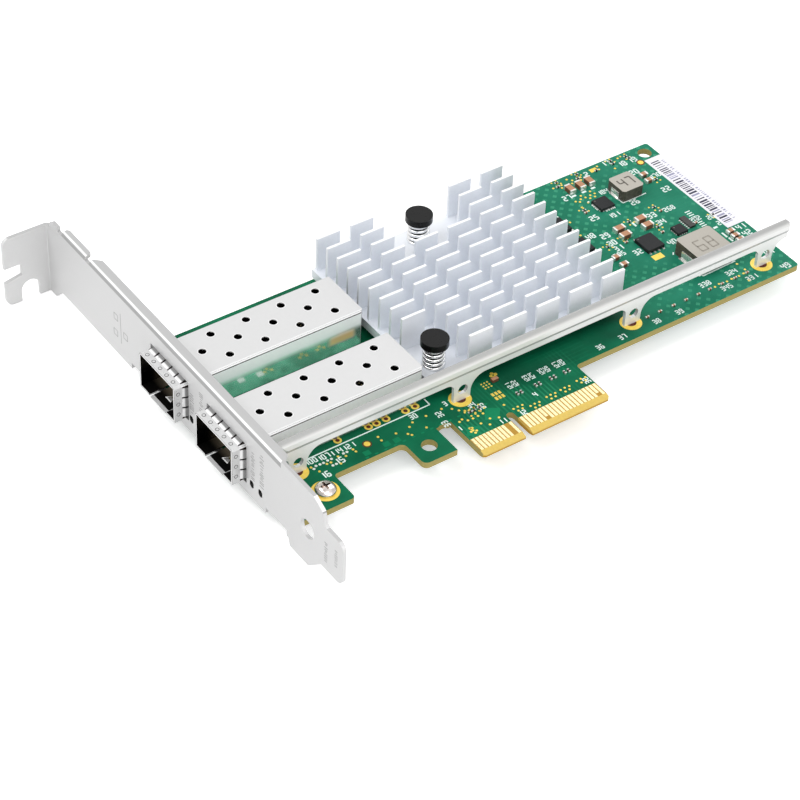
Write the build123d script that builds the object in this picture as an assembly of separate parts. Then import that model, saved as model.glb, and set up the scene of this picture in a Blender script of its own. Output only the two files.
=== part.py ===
from build123d import *
import math
import os

# A dual-port network interface card for a server, on a full-height bracket.
# X runs from the bracket to the tail, Y from the contact edge up the card, Z out of the component face.
# The origin is the middle of the key notch, on the contact edge, in the plane of the component face.

# Circuit board
board_thick = 1.57
board_left = -57.9
board_right = 88.2
board_top = 68.6
main_low = 12.2
board_corner = 0.8
tongue_corner = 0.5
key_width = 1.9
key_depth = 7.8
bevel_run = 1.4
bevel_depth = 0.45
hook_width = 8.55
hook_gap = 3.9
hook_low = 4.3
hook_gap_top = 12.7
hook_hole = 3.6
hook_hole_height = 4.4
hook_corner = 1.4
lobe_width = 15.4
lobe_low = 4.1
tail_hole = 3.5
tail_hole_inset = 3.0

# Contacts on the tongue
pad_pitch = 1.0
pad_width = 0.7
pad_low = 1.4
pad_high = 5.3
pad_thick = 0.05
pad_first = 1.5
pads_before_key = 11
pads_after_key = 21
pad_side = 0.3
short_pad = 1.0

# Bracket, a folded sheet
sheet = 0.86
bend = 0.25
board_gap = 0.29
bracket_length = 120.02
body_low = -3.1
body_high = 15.3
tab_under = 103.9
flange_depth = 2.72
flange_drop = 19.0
flange_corner = 1.6
relief_width = 1.9
lip_drop = 6.8
lip_depth = 1.1
tab_reach = 11.35
tab_low = -6.1
tab_high = 12.95
tab_corner = 2.0
neck_slope = 3.1
neck_drop = 5.7
tab_slot_width = 4.6
tab_slot_inset = 2.75
tab_slot_top = -0.8
side_notch_depth = 4.3
side_notch_high = 4.6
side_notch_low = 1.45
foot_high = 16.0
foot_low = -5.0
foot_rise = 10.66
foot_step_drop = 3.0
foot_step_slope = 0.6
foot_shoulder = [(3.3, 14.3), (4.1, 11.4), (4.8, 10.8)]
flange_rise = 12.0
taper_low = 3.0
taper_high = 1.6
tongue_high = 10.8
tongue_low = -0.7
tip_corner = 2.0
foot_hole = 4.8
foot_hole_rise = 12.76

# Ears that carry the board, and their screws
ear_width = 8.0
ear_reach = 15.0
near_screw_drop = 3.15
far_screw_inset = 5.3
screw_inset = 11.15
screw_shank = 2.5
screw_head = 4.8
screw_head_height = 1.7
thread_clearance = 0.02
board_hole_clearance = 0.35
screw_tail = 0.4

# Port cages
cage_width = 14.17
cage_length = 48.66
cage_height = 9.52
cage_wall = 0.3
cage_reach = 4.34
cage_standoff = 0.3
cage_corner = 0.5
near_cage_inset = 15.9
cage_spacing = 22.9
vent = 1.85
vent_pitch = 9.08
vent_first = 11.49
vent_side = 3.93
hole_facets = 12
cage_foot = 1.6
flap_width = 6.2
flap_length = 7.5
flap_slot = 0.5
flap_drop = 0.5
catch_size = 2.4

# Spring collars around the cage mouths
collar_sheet = 0.15
collar_band = 1.9
collar_tail = 1.3
collar_clearance = 0.02
finger_gap = 0.45
top_finger_count = 5
side_finger_count = 3
window_gap = 0.66

# Connectors inside the cages
connector_width = 11.2
connector_depth = 10.2
connector_height = 6.6
connector_back_gap = 0.5
card_slot_width = 9.3
card_slot_height = 1.4
card_slot_depth = 6.4
card_slot_middle = 4.1
contact_pitch = 0.8
contact_width = 0.4
contact_thick = 0.12
contacts_per_row = 10
connector_room = 0.6

# Heat sink on the controller chip
sink_gap = 1.98
sink_length = 53.3
sink_low_inset = 7.7
sink_high_inset = 1.4
sink_base = 2.27
sink_top = 13.5
fin_length = 6.22
fin_thick = 0.65
fin_edge_x = 0.615
fin_edge_y = 0.825
fin_columns = 6
fin_rows = 12
fin_clear_x = 0.5
fin_clear_y = 5.0
chip_side = 25.0
chip_height = 1.9
chip_lid_inset = 3.0
chip_substrate = 0.9
thermal_gap = 0.3

# Push pins and their springs
near_pin_inset_x = 4.2
near_pin_inset_y = 5.7
far_pin_inset_x = 26.6
far_pin_inset_y = 4.2
pin_shaft = 2.9
pin_clearance = 0.15
pin_cap = 6.4
pin_cap_thick = 1.7
pin_cap_top = 12.0
pin_barb = 0.4
pin_barb_gap = 0.03
pin_tail = 1.9
pin_split = 0.5
pin_barb_width = 2.0
spring_outer = 5.1
spring_wire = 0.6
spring_coils = 4
spring_seat = 0.45

# Stiffener rail
rail_inset = 4.9
rail_thick = 0.8
rail_low = 5.6
rail_high = 10.6
rail_bevel = 0.5
rail_corner = 1.0
rail_start_inset = 3.9
rail_end_inset = 0.8
leg_width = 4.5
leg_shoulder = 2.0
leg_sweep = 3.9
leg_hole = 2.5
leg_hole_height = 3.0
leg_hole_inset = 2.4
leg_tip_width = 2.7
leg_tip_clearance = 0.15
leg_tip_tail = 0.6
bead_low = 7.0
bead_high = 10.1
bead_proud = 0.4
bead_start = 0.7
bead_nose = 1.5
bead_slope = 0.95
first_leg_inset = 9.25
second_leg_x = -5.95
third_leg_inset = 46.5
last_leg_inset = 7.15

# Status lights behind the bracket
light_width = 1.6
light_length = 3.2
light_height = 1.5
light_round = 0.5
light_slot_width = 1.5
light_slot_height = 1.9
light_slot_corner = 0.4
light_slot_lift = 0.1
near_light_gaps = [5.97, 2.67]
far_light_gaps = [5.22, 1.72]

# Parts of the power stage and memory, placed from the right edge and the top edge of the board
large_coil = 10.0
large_coil_height = 4.0
large_coil_place = (17.05, 42.1)
small_coil = 6.3
small_coil_height = 3.0
small_coil_place = (16.9, 12.6)
coil_corner = 0.5
power_chip_place = (25.0, 31.75)
power_chip_width = 4.8
power_chip_length = 5.3
power_chip_height = 1.0
power_lead_reach = 0.6
regulator_place = (24.8, 14.0)
regulator_side = 4.0
regulator_height = 0.9
small_regulator_place = (15.7, 31.5)
small_regulator_side = 3.0
small_regulator_height = 0.8
pack_place = (12.0, 30.1)
pack_width = 1.6
pack_length = 4.2
pack_height = 0.5
memory_places = [(39.6, 24.7), (39.6, 15.9)]
memory_width = 3.9
memory_length = 4.9
memory_height = 1.5
memory_lead_reach = 0.95
lead_pitch = 1.27
lead_width = 0.45
lead_thick = 0.22
leads_per_side = 4
bulk_length = 2.9
bulk_width = 1.6
bulk_height = 1.2
bulk_cap = 0.45
upright_bulk_places = [(28.1, 5.4), (25.1, 5.5), (22.2, 5.3)]
level_bulk_places = [(27.75, 23.85), (27.95, 26.45), (21.1, 23.6), (21.2, 26.35)]
medium_length = 2.1
medium_width = 1.25
medium_height = 0.95
medium_places = [(9.3, 10.2), (9.6, 12.65), (5.85, 38.55), (5.95, 40.4), (5.9, 42.2), (35.0, 31.7), (35.0, 34.7)]
small_length = 1.0
small_width = 0.5
small_height = 0.5
small_places = [(30.2, 14.3), (29.2, 28.3), (14.6, 23.3), (10.5, 31.4), (19.5, 29.9)]
row_insets = [42.3, 38.6, 34.6, 30.9, 27.2, 23.8, 20.1, 16.15, 12.5]
row_gap = 0.1
resistor_places = [(29.7, 2.7), (23.6, 2.6), (17.8, 2.5), (12.6, 2.5), (7.85, 2.7)]
coupling_places = [5.85, 10.9, 15.06, 18.95]
coupling_spacing = 1.1
coupling_drop = 0.7
label_width = 5.0
label_length = 31.3
label_thick = 0.08
label_edge = 0.1
label_drop = 5.5

os.makedirs("parts", exist_ok=True)

# Places that follow from the sizes
board_under = -board_thick
bracket_outer = board_left - board_gap - sheet
bracket_inner = bracket_outer + sheet
lobe_right = board_left + lobe_width
tongue_left = -pad_first - (pads_before_key - 1) * pad_pitch - pad_width / 2 - pad_side
tongue_right = pad_first + (pads_after_key - 1) * pad_pitch + pad_width / 2 + pad_side
hook_right = tongue_left - hook_gap
hook_left = hook_right - hook_width
tip_y = tab_under + sheet - bracket_length
foot_start = tip_y + foot_rise
foot_hole_y = tip_y + foot_hole_rise
flange_low = foot_start + flange_rise
foot_step = flange_low - foot_step_drop
flange_high = tab_under - flange_drop
lip_high = tab_under - lip_drop
neck_low = tab_under - neck_drop
neck_high = tab_under - bend - sheet
screw_x = board_left + screw_inset
screw_y = [main_low - near_screw_drop, board_top - far_screw_inset]
cage_front = board_left - cage_reach
cage_back = cage_front + cage_length
cage_top = cage_standoff + cage_height
near_cage_y = main_low + near_cage_inset
far_cage_y = near_cage_y + cage_spacing
sink_left = cage_back + sink_gap
sink_right = sink_left + sink_length
sink_low = main_low + sink_low_inset
sink_high = board_top - sink_high_inset
sink_under = chip_height + thermal_gap
sink_plate = sink_under + sink_base
near_pin = (sink_left + near_pin_inset_x, sink_low + near_pin_inset_y)
far_pin = (sink_left + far_pin_inset_x, sink_high - far_pin_inset_y)
rail_y = main_low + rail_inset
rail_left = board_left + rail_start_inset
rail_right = board_right - rail_end_inset
leg_places = [board_left + first_leg_inset, second_leg_x, board_right - third_leg_inset, board_right - last_leg_inset]
light_places = [near_cage_y - cage_width / 2 - gap for gap in near_light_gaps]
light_places += [far_cage_y - cage_width / 2 - gap for gap in far_light_gaps]


def save(name, shape):
    export_step(shape, f"parts/{name}.step")


def block(x0, x1, y0, y1, z0, z1):
    middle = Pos((x0 + x1) / 2, (y0 + y1) / 2, (z0 + z1) / 2)
    return middle * Box(x1 - x0, y1 - y0, z1 - z0)


def rect(x0, x1, y0, y1):
    return Pos((x0 + x1) / 2, (y0 + y1) / 2) * Rectangle(x1 - x0, y1 - y0)


def shape_of(*points):
    return make_face(Polyline(*points, close=True))


def bore(radius):
    # Small holes that repeat have few facets
    return RegularPolygon(radius, hole_facets, major_radius=False)


def corners(shape, *points):
    found = []
    for x, y in points:
        found.append(min(shape.vertices(), key=lambda v: (v.X - x) ** 2 + (v.Y - y) ** 2))
    return found


def across(sketch, x0, x1):
    # A sketch drawn in Y and Z, made solid from x0 to x1
    return extrude(Plane.YZ.offset(x0) * sketch, x1 - x0)


def along(sketch, y0, y1):
    # A sketch drawn in X and Z, made solid from y0 to y1
    return extrude(Plane.XZ.offset(-y1) * sketch, y1 - y0)


def upward(sketch, z0, z1):
    return extrude(Plane.XY.offset(z0) * sketch, z1 - z0)


def post(x, y, radius, z0, z1):
    return upward(Pos(x, y) * Circle(radius), z0, z1)


# The board outline: main area, bracket lobe, retention hook and contact tongue
outline = rect(board_left, board_right, main_low, board_top)
outline += rect(board_left, lobe_right, lobe_low, main_low)
outline += rect(hook_left, hook_right, hook_low, main_low)
outline += rect(tongue_left, tongue_right, 0, main_low)
outer_corners = corners(outline, (board_right, board_top), (board_right, main_low), (lobe_right, lobe_low))
outline = fillet(outer_corners, board_corner)
hook_corners = corners(outline, (hook_left, main_low), (hook_left, hook_low))
outline = fillet(hook_corners, hook_corner)
tongue_ends = corners(outline, (tongue_left, 0), (tongue_right, 0))
outline = chamfer(tongue_ends, tongue_corner)
outline = fillet(corners(outline, (lobe_right, main_low), (tongue_right, main_low)), board_corner)
gap_radius = hook_gap / 2
gap_middle = hook_right + gap_radius
outline -= rect(hook_right, tongue_left, hook_low - hook_gap, hook_gap_top - gap_radius)
outline -= Pos(gap_middle, hook_gap_top - gap_radius) * Circle(gap_radius)
outline -= rect(-key_width / 2, key_width / 2, -key_width, key_depth - key_width / 2)
outline -= Pos(0, key_depth - key_width / 2) * Circle(key_width / 2)
outline -= Pos((hook_left + hook_right) / 2, hook_low + hook_hole_height) * Circle(hook_hole / 2)
outline -= Pos(board_right - tail_hole_inset, board_top - tail_hole_inset) * Circle(tail_hole / 2)
for y in screw_y:
    outline -= Pos(screw_x, y) * bore(screw_shank / 2 + board_hole_clearance)
for x, y in (near_pin, far_pin):
    outline -= Pos(x, y) * bore(pin_shaft / 2 + pin_clearance)
tip_slot_length = leg_tip_width + 2 * leg_tip_clearance
tip_slot_width = rail_thick + 2 * leg_tip_clearance
for x in leg_places:
    outline -= Pos(x, rail_y) * Rectangle(tip_slot_length, tip_slot_width)
board = upward(outline, board_under, 0)

# Both faces of the tongue are bevelled so that it enters its slot
bevel_slope = bevel_depth / bevel_run
bevel_back = bevel_depth + bevel_slope
upper_bevel = shape_of((bevel_run, 0), (bevel_run, 1), (-1, 1), (-1, -bevel_back))
lower_bevel = Pos(0, -board_thick) * mirror(upper_bevel, Plane.XZ)
for wedge in (upper_bevel, lower_bevel):
    board -= across(wedge, tongue_left - key_width, tongue_right + key_width)
save("circuit_board", board)

# Contacts: the key notch splits each row, and some contacts are short or left out
pad_places = [-pad_first - i * pad_pitch for i in range(pads_before_key)]
pad_places += [pad_first + i * pad_pitch for i in range(pads_after_key)]
missing_pad = pad_places[1]
short_front = [pad_places[pads_before_key + 5], pad_places[-2]]
short_back = [pad_places[pads_before_key - 1]]


def contact_row(places, shorter, z0):
    pads = []
    for x in places:
        low = pad_low
        if x in shorter:
            low += short_pad
        pads.append(block(x - pad_width / 2, x + pad_width / 2, low, pad_high, z0, z0 + pad_thick))
    return pads


front_pads = contact_row([x for x in pad_places if x != missing_pad], short_front, 0)
back_pads = contact_row(pad_places, short_back, board_under - pad_thick)
save("edge_contacts", Compound(front_pads + back_pads))

# The bracket face, with the neck that widens to the screw tab and the foot that enters the chassis slot
plate = rect(foot_step, neck_low, body_low, body_high)
neck = shape_of(
    (neck_low, body_low),
    (neck_low + neck_slope, tab_low),
    (neck_high, tab_low),
    (neck_high, body_high),
    (neck_low, body_high),
)
neck = fillet(corners(neck, (neck_high, body_high)), (body_high - tab_high) * 0.8)
shoulder = [(foot_start - drop, height) for drop, height in foot_shoulder]
foot = shape_of(
    (flange_low, foot_high),
    (foot_start, foot_high),
    *shoulder,
    (tip_y, tongue_high),
    (tip_y, tongue_low),
    (foot_start - taper_low, tongue_low),
    (foot_start + taper_high, foot_low),
    (foot_step - foot_step_slope, foot_low),
    (foot_step, body_low),
    (flange_low, body_low),
)
foot = fillet(corners(foot, (tip_y, tongue_high), (tip_y, tongue_low)), tip_corner)
plate = plate + neck + foot
plate -= rect(flange_high, flange_high + relief_width, body_high - sheet - bend, foot_high)
plate -= rect(lip_high, lip_high + relief_width, body_high - sheet - bend, foot_high)
plate -= Pos(foot_hole_y, (tongue_high + tongue_low) / 2) * Circle(foot_hole / 2)

# Windows for the cages and slots for the status lights
window_half = cage_width / 2 + window_gap
for y in (near_cage_y, far_cage_y):
    plate -= rect(y - window_half, y + window_half, cage_standoff - window_gap, cage_top + window_gap)
for y in light_places:
    slot = rect(-light_slot_width / 2, light_slot_width / 2, 0, light_slot_height)
    slot = chamfer(slot.vertices(), light_slot_corner)
    plate -= Pos(y, light_height / 2 + light_slot_lift - light_slot_height / 2) * slot

# Each ear is folded out of the lower edge, so the face is cut back there
ear_top = board_under
ear_under = ear_top - sheet
fold_leg = 2 * sheet
for y in screw_y:
    plate -= rect(y - ear_width / 2, y + ear_width / 2, foot_low * 2, ear_under + fold_leg)
for y0, y1 in ((flange_low, flange_high), (flange_high + relief_width, lip_high)):
    plate -= rect(y0, y1, body_high - fold_leg, foot_high)
bracket = across(plate, bracket_outer, bracket_inner)


def fold(corner, inner_end, outer_end, turn):
    # Section of a folded sheet: a corner with one leg along each axis
    cx, cy = corner
    ex, ey = inner_end[0], outer_end[1]
    section = shape_of(corner, (ex, cy), (ex, cy + turn[1] * sheet), (cx + turn[0] * sheet, cy + turn[1] * sheet),
                       (cx + turn[0] * sheet, ey), (cx, ey))
    section = fillet(corners(section, corner), bend + sheet)
    inner = (cx + turn[0] * sheet, cy + turn[1] * sheet)
    return fillet(corners(section, inner), bend)


def edge_flange(y0, y1, depth, corner_radius):
    reach = bracket_outer + depth
    section = fold((bracket_outer, body_high), (reach, 0), (0, body_high - fold_leg), (1, -1))
    piece = along(section, y0, y1)
    ends = piece.edges().filter_by(Axis.Z).group_by(Axis.X)[-1]
    return chamfer(ends, corner_radius)


bracket += edge_flange(flange_low, flange_high, flange_depth, flange_corner)
bracket += edge_flange(flange_high + relief_width, lip_high, lip_depth + sheet, lip_depth / 2)
ear_end = board_left + ear_reach
for y in screw_y:
    section = fold((bracket_outer, ear_under), (ear_end, 0), (0, ear_under + fold_leg), (1, 1))
    ear = along(section, y - ear_width / 2, y + ear_width / 2)
    tips = ear.edges().filter_by(Axis.Z).group_by(Axis.X)[-1]
    ear = chamfer(tips, board_corner)
    bracket += ear - upward(Pos(screw_x, y) * bore(screw_shank / 2 + thread_clearance), ear_under - 1, ear_top + 1)

# The screw tab folds outward at the top, with its screw slot and the alignment notch
tab_end = bracket_outer - tab_reach
tab_section = fold((bracket_inner, tab_under + sheet), (tab_end, 0), (0, neck_high), (-1, -1))
tab = upward(tab_section, tab_low, tab_high)
slot_right = bracket_outer - tab_slot_inset
slot_middle = slot_right - tab_slot_width / 2
slot_round = tab_slot_width / 2
tab_cut = rect(slot_right - tab_slot_width, slot_right, tab_low * 2, tab_slot_top - slot_round)
tab_cut += Pos(slot_middle, tab_slot_top - slot_round) * Circle(slot_round)
notch_wall = tab_end + side_notch_depth
tab_cut += shape_of(
    (notch_wall, side_notch_high),
    (notch_wall, side_notch_low),
    (tab_end - 1, side_notch_low - 1.1),
    (tab_end - 1, side_notch_high),
)
tab -= along(tab_cut, tab_under - 1, tab_under + sheet + 1)
tab_ends = tab.edges().filter_by(Axis.Y).group_by(Axis.X)[0].sort_by(Axis.Z)
tab = fillet([tab_ends[0], tab_ends[-1]], tab_corner)
bracket += tab
save("bracket", bracket)

# Bracket screws pass the board and thread into the ears
screws = []
for y in screw_y:
    shank = upward(Pos(screw_x, y) * bore(screw_shank / 2), ear_under - screw_tail, 0)
    screws.append(shank + post(screw_x, y, screw_head / 2, 0, screw_head_height))
save("bracket_screws", Compound(screws))


# The latch flap: a tongue of the cage floor, cut free on three sides and bent down towards the mouth
def latch_flap(hinge, y):
    bend_profile = shape_of(
        (hinge, cage_standoff),
        (hinge, cage_standoff + cage_wall),
        (cage_front, cage_standoff + cage_wall - flap_drop),
        (cage_front, cage_standoff - flap_drop),
    )
    flap = along(bend_profile, y - flap_width / 2, y + flap_width / 2)
    catch = cage_front + flap_length / 2
    hole = shape_of(
        (catch + catch_size / 2, y),
        (catch - catch_size / 2, y - catch_size / 2),
        (catch - catch_size / 2, y + catch_size / 2),
    )
    return flap - upward(hole, cage_standoff - flap_drop, cage_standoff + 2 * cage_wall)


# A port cage: folded sheet, open at the mouth, vented on top, with a latch flap in its floor
def port_cage(y):
    half = cage_width / 2
    shell = block(cage_front, cage_back, y - half, y + half, cage_standoff, cage_top)
    long_top = shell.edges().filter_by(Axis.X).group_by(Axis.Z)[-1]
    back_posts = shell.edges().filter_by(Axis.Z).group_by(Axis.X)[-1]
    shell = chamfer(long_top + back_posts, cage_corner)
    inner = half - cage_wall
    shell -= block(cage_front - 1, cage_back - cage_wall, y - inner, y + inner, cage_standoff + cage_wall,
                   cage_top - cage_wall)
    holes = []
    for i in range(4):
        holes.append((cage_front + vent_first + i * vent_pitch, y))
        for side in (-vent_side, vent_side):
            holes.append((cage_front + vent_first + (i + 0.5) * vent_pitch, y + side))
    vents = Sketch() + [Pos(x, hy) * bore(vent / 2) for x, hy in holes]
    shell -= upward(vents, cage_top - 2 * cage_wall, cage_top + cage_wall)
    floor_end = cage_back - cage_wall - connector_back_gap - connector_depth - connector_room
    floor_cut = rect(floor_end, cage_back - cage_wall, y - inner, y + inner)
    hinge = cage_front + flap_length
    free = flap_width / 2 + flap_slot
    floor_cut += rect(cage_front - 1, hinge, y - free, y + free)
    shell -= upward(floor_cut, cage_standoff - cage_wall, cage_standoff + 2 * cage_wall)
    shell += latch_flap(hinge, y)
    for side in (-1, 1):
        outer = y + side * half
        wall = sorted((outer, outer - side * cage_wall))
        for x in (board_left + cage_foot, (board_left + cage_back) / 2, cage_back - 2 * cage_foot):
            shell += block(x - cage_foot / 2, x + cage_foot / 2, wall[0], wall[1], 0, cage_standoff)
    return shell


# A collar: a band around the mouth, with fingers that bow out to meet the edges of the bracket window
def finger_strip(tail):
    rise = window_gap - collar_clearance
    start = cage_front + collar_band
    peak = bracket_outer
    end = bracket_inner + tail
    return shape_of(
        (cage_front, 0),
        (start, 0),
        (peak, rise - collar_sheet),
        (bracket_inner, rise - collar_sheet),
        (end, 0),
        (end, collar_sheet),
        (bracket_inner, rise),
        (peak, rise),
        (start, collar_sheet),
        (cage_front, collar_sheet),
    )


def finger_side(width, count, tail):
    # One side of the collar, lying flat on top of Z = 0 and centred on Y = 0
    strip = along(finger_strip(tail), -width / 2, width / 2)
    pitch = width / count
    slots = [-width / 2 + i * pitch for i in range(count + 1)]
    start = cage_front + collar_band
    for y in slots:
        strip -= block(start, 0, y - finger_gap / 2, y + finger_gap / 2, -1, 1 + window_gap)
    return strip


def spring_collar(y):
    wide = cage_width - 2 * cage_corner
    high = cage_height - 2 * cage_corner
    across_side = finger_side(wide, top_finger_count, collar_tail)
    lip = wide / 2 - flap_width / 2 - flap_slot / 2
    under_side = finger_side(lip, 1, board_gap * 0.8)
    upright_side = finger_side(high, side_finger_count, collar_tail)
    middle = (cage_standoff + cage_top) / 2
    half = cage_width / 2
    top = Pos(0, y, cage_top) * across_side
    lip_middle = (wide - lip) / 2
    near_lip = Pos(0, y - lip_middle, cage_standoff) * (Rot(180, 0, 0) * under_side)
    far_lip = Pos(0, y + lip_middle, cage_standoff) * (Rot(180, 0, 0) * under_side)
    far = Pos(0, y + half, middle) * (Rot(-90, 0, 0) * upright_side)
    near = Pos(0, y - half, middle) * (Rot(90, 0, 0) * upright_side)
    outer = half + collar_sheet
    band = rect(y - outer, y + outer, cage_standoff - collar_sheet, cage_top + collar_sheet)
    band = chamfer(corners(band, (y - outer, cage_top + collar_sheet), (y + outer, cage_top + collar_sheet)),
                   cage_corner)
    hole = rect(y - half, y + half, cage_standoff, cage_top)
    hole = chamfer(corners(hole, (y - half, cage_top), (y + half, cage_top)), cage_corner)
    notch = wide / 2 - lip
    cut = rect(y - notch, y + notch, cage_standoff - 2 * collar_sheet, cage_standoff + collar_sheet)
    ring = across(band - hole - cut, cage_front, cage_front + collar_band)
    return ring + top + near_lip + far_lip + far + near


# A host connector with its card slot and two rows of contacts
connector_back = cage_back - cage_wall - connector_back_gap
connector_front = connector_back - connector_depth


def host_connector(y):
    half = connector_width / 2
    slot = card_slot_width / 2
    body = block(connector_front, connector_back, y - half, y + half, 0, connector_height)
    low = card_slot_middle - card_slot_height / 2
    return body - block(connector_front - 1, connector_front + card_slot_depth, y - slot, y + slot, low,
                        low + card_slot_height)


def host_contacts(y):
    strips = []
    low = card_slot_middle - card_slot_height / 2
    high = low + card_slot_height
    first = y - (contacts_per_row - 1) * contact_pitch / 2
    start = connector_front + contact_width
    end = connector_front + card_slot_depth
    for i in range(contacts_per_row):
        middle = first + i * contact_pitch
        for z in (low, high - contact_thick):
            strips.append(block(start, end, middle - contact_width / 2, middle + contact_width / 2, z,
                                z + contact_thick))
    return Compound(strips)


for side_name, cage_y in (("near", near_cage_y), ("far", far_cage_y)):
    save(side_name + "_port_cage", port_cage(cage_y))
    save(side_name + "_spring_collar", spring_collar(cage_y))
    save(side_name + "_host_connector", host_connector(cage_y))
    save(side_name + "_host_contacts", host_contacts(cage_y))

# Heat sink: a base with rows of short fins, left out around the push pins
sink = block(sink_left, sink_right, sink_low, sink_high, sink_under, sink_plate)
fin_pitch_x = (sink_length - 2 * fin_edge_x - fin_length) / (fin_columns - 1)
fin_pitch_y = (sink_high - sink_low - 2 * fin_edge_y) / (fin_rows - 1)
fins = []
for column in range(fin_columns):
    left = sink_left + fin_edge_x + column * fin_pitch_x
    right = left + fin_length
    for row in range(fin_rows):
        middle = sink_low + fin_edge_y + row * fin_pitch_y
        blocked = False
        for x, y in (near_pin, far_pin):
            reach = pin_cap / 2 + fin_clear_x
            if left < x + reach and right > x - reach and abs(middle - y) < fin_clear_y:
                blocked = True
        if not blocked:
            fins.append(rect(left, right, middle - fin_thick / 2, middle + fin_thick / 2))
sink += upward(Sketch() + fins, sink_plate, sink_top)
for x, y in (near_pin, far_pin):
    sink -= upward(Pos(x, y) * bore(pin_shaft / 2 + pin_clearance), sink_under - 1, sink_plate + 1)
save("heat_sink", sink)

sink_x = (sink_left + sink_right) / 2
sink_y = (sink_low + sink_high) / 2
half_chip = chip_side / 2
half_lid = half_chip - chip_lid_inset
chip = block(sink_x - half_chip, sink_x + half_chip, sink_y - half_chip, sink_y + half_chip, 0, chip_substrate)
chip += block(sink_x - half_lid, sink_x + half_lid, sink_y - half_lid, sink_y + half_lid, chip_substrate, chip_height)
save("controller_chip", chip)
save("thermal_pad", block(sink_x - half_lid, sink_x + half_lid, sink_y - half_lid, sink_y + half_lid, chip_height,
                          sink_under))


# A push pin hooks under the board and its spring presses the heat sink down
def push_pin(x, y):
    shaft = pin_shaft / 2
    barb = shaft + pin_clearance + pin_barb
    hook = board_under - pin_barb_gap
    under = pin_cap_top - pin_cap_thick
    pin = upward(Pos(x, y) * bore(shaft), hook, under) + post(x, y, pin_cap / 2, under, pin_cap_top)
    tip = board_under - pin_tail
    prong = shape_of(
        (x + pin_split / 2, hook),
        (x + barb, hook),
        (x + barb, hook - pin_barb),
        (x + pin_split, tip),
        (x + pin_split / 2, tip),
    )
    arrow = along(prong, y - pin_barb_width / 2, y + pin_barb_width / 2)
    return pin + arrow + mirror(arrow, Plane.YZ.offset(x))


def pin_spring(x, y):
    low = sink_plate + spring_seat
    high = pin_cap_top - pin_cap_thick - spring_seat
    radius = (spring_outer - spring_wire) / 2
    steps = spring_coils * hole_facets
    points = []
    for i in range(steps + 1):
        angle = i * 2 * math.pi / hole_facets
        height = low + (high - low) * i / steps
        points.append((x + radius * math.cos(angle), y + radius * math.sin(angle), height))
    path = Polyline(*points)
    section = Plane(origin=path @ 0, z_dir=path % 0) * Rectangle(spring_wire, spring_wire)
    return sweep(section, path, transition=Transition.RIGHT)


for side_name, place in (("near", near_pin), ("far", far_pin)):
    save(side_name + "_push_pin", push_pin(*place))
    save(side_name + "_pin_spring", pin_spring(*place))

# Stiffener rail: a pressed strip with a long bead, on legs that pass through the board
strip = rect(rail_left, rail_right, rail_low, rail_high)
for x in leg_places:
    strip += rect(x - leg_width / 2, x + leg_width / 2, 0, rail_low)
for x in leg_places:
    strip = fillet(corners(strip, (x - leg_width / 2, rail_low)), leg_shoulder)
    strip = fillet(corners(strip, (x + leg_width / 2, rail_low)), leg_sweep)
strip = fillet(corners(strip, (rail_right, rail_high)), rail_corner)
for x in leg_places:
    strip += rect(x - leg_tip_width / 2, x + leg_tip_width / 2, board_under - leg_tip_tail, 0)
    strip -= Pos(x - leg_width / 2 + leg_hole_inset, leg_hole_height) * bore(leg_hole / 2)
rail = along(strip, rail_y - rail_thick / 2, rail_y + rail_thick / 2)
front = rail_y - rail_thick / 2
edge_cut = shape_of(
    (front - rail_bevel, rail_high - 2 * rail_bevel),
    (front + 2 * rail_bevel, rail_high + rail_bevel),
    (front - rail_bevel, rail_high + rail_bevel),
)
rail -= across(edge_cut, rail_left - 1, rail_right + 1)
bead_left = rail_left + bead_start
bead = rect(bead_left, rail_right + leg_width, bead_low, bead_high)
bead = chamfer(corners(bead, (bead_left, bead_low)), bead_nose)
bead_angle = math.degrees(math.atan2(bead_slope, bead_proud))
bead_bar = extrude(Plane.XZ.offset(-front) * bead, bead_proud, taper=bead_angle)
bead_bar -= block(rail_right, rail_right + 2 * leg_width, front - 1, front + 1, rail_low, rail_high)
rail += bead_bar
rail -= Pos(0, rail_thick, 0) * bead_bar
save("stiffener_rail", rail)

# Status lights stand at the board edge behind the bracket slots
lights = []
for y in light_places:
    light = block(board_left, board_left + light_length, y - light_width / 2, y + light_width / 2, 0, light_height)
    nose = light.edges().filter_by(Axis.Z).group_by(Axis.X)[0]
    lights.append(chamfer(nose, light_round))
save("status_lights", Compound(lights))


# Power stage: moulded coils, chips with their leads, and capacitors with metal ends
def slab(x, y, width, length, height):
    return block(x - width / 2, x + width / 2, y - length / 2, y + length / 2, 0, height)


def spot(place):
    # A place given from the right edge and the top edge of the board
    return board_right - place[0], board_top - place[1]


def coil(place, side, height):
    body = slab(*spot(place), side, side, height)
    return chamfer(body.edges().filter_by(Axis.Z), coil_corner)


save("large_inductor", coil(large_coil_place, large_coil, large_coil_height))
save("small_inductor", coil(small_coil_place, small_coil, small_coil_height))
save("power_chip", slab(*spot(power_chip_place), power_chip_width, power_chip_length, power_chip_height))
save("regulator_chip", slab(*spot(regulator_place), regulator_side, regulator_side, regulator_height))
small_chip = slab(*spot(small_regulator_place), small_regulator_side, small_regulator_side, small_regulator_height)
save("small_regulator_chip", small_chip)
save("resistor_pack", slab(*spot(pack_place), pack_width, pack_length, pack_height))
memories = [slab(*spot(place), memory_width, memory_length, memory_height) for place in memory_places]
save("memory_chips", Compound(memories))

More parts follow.
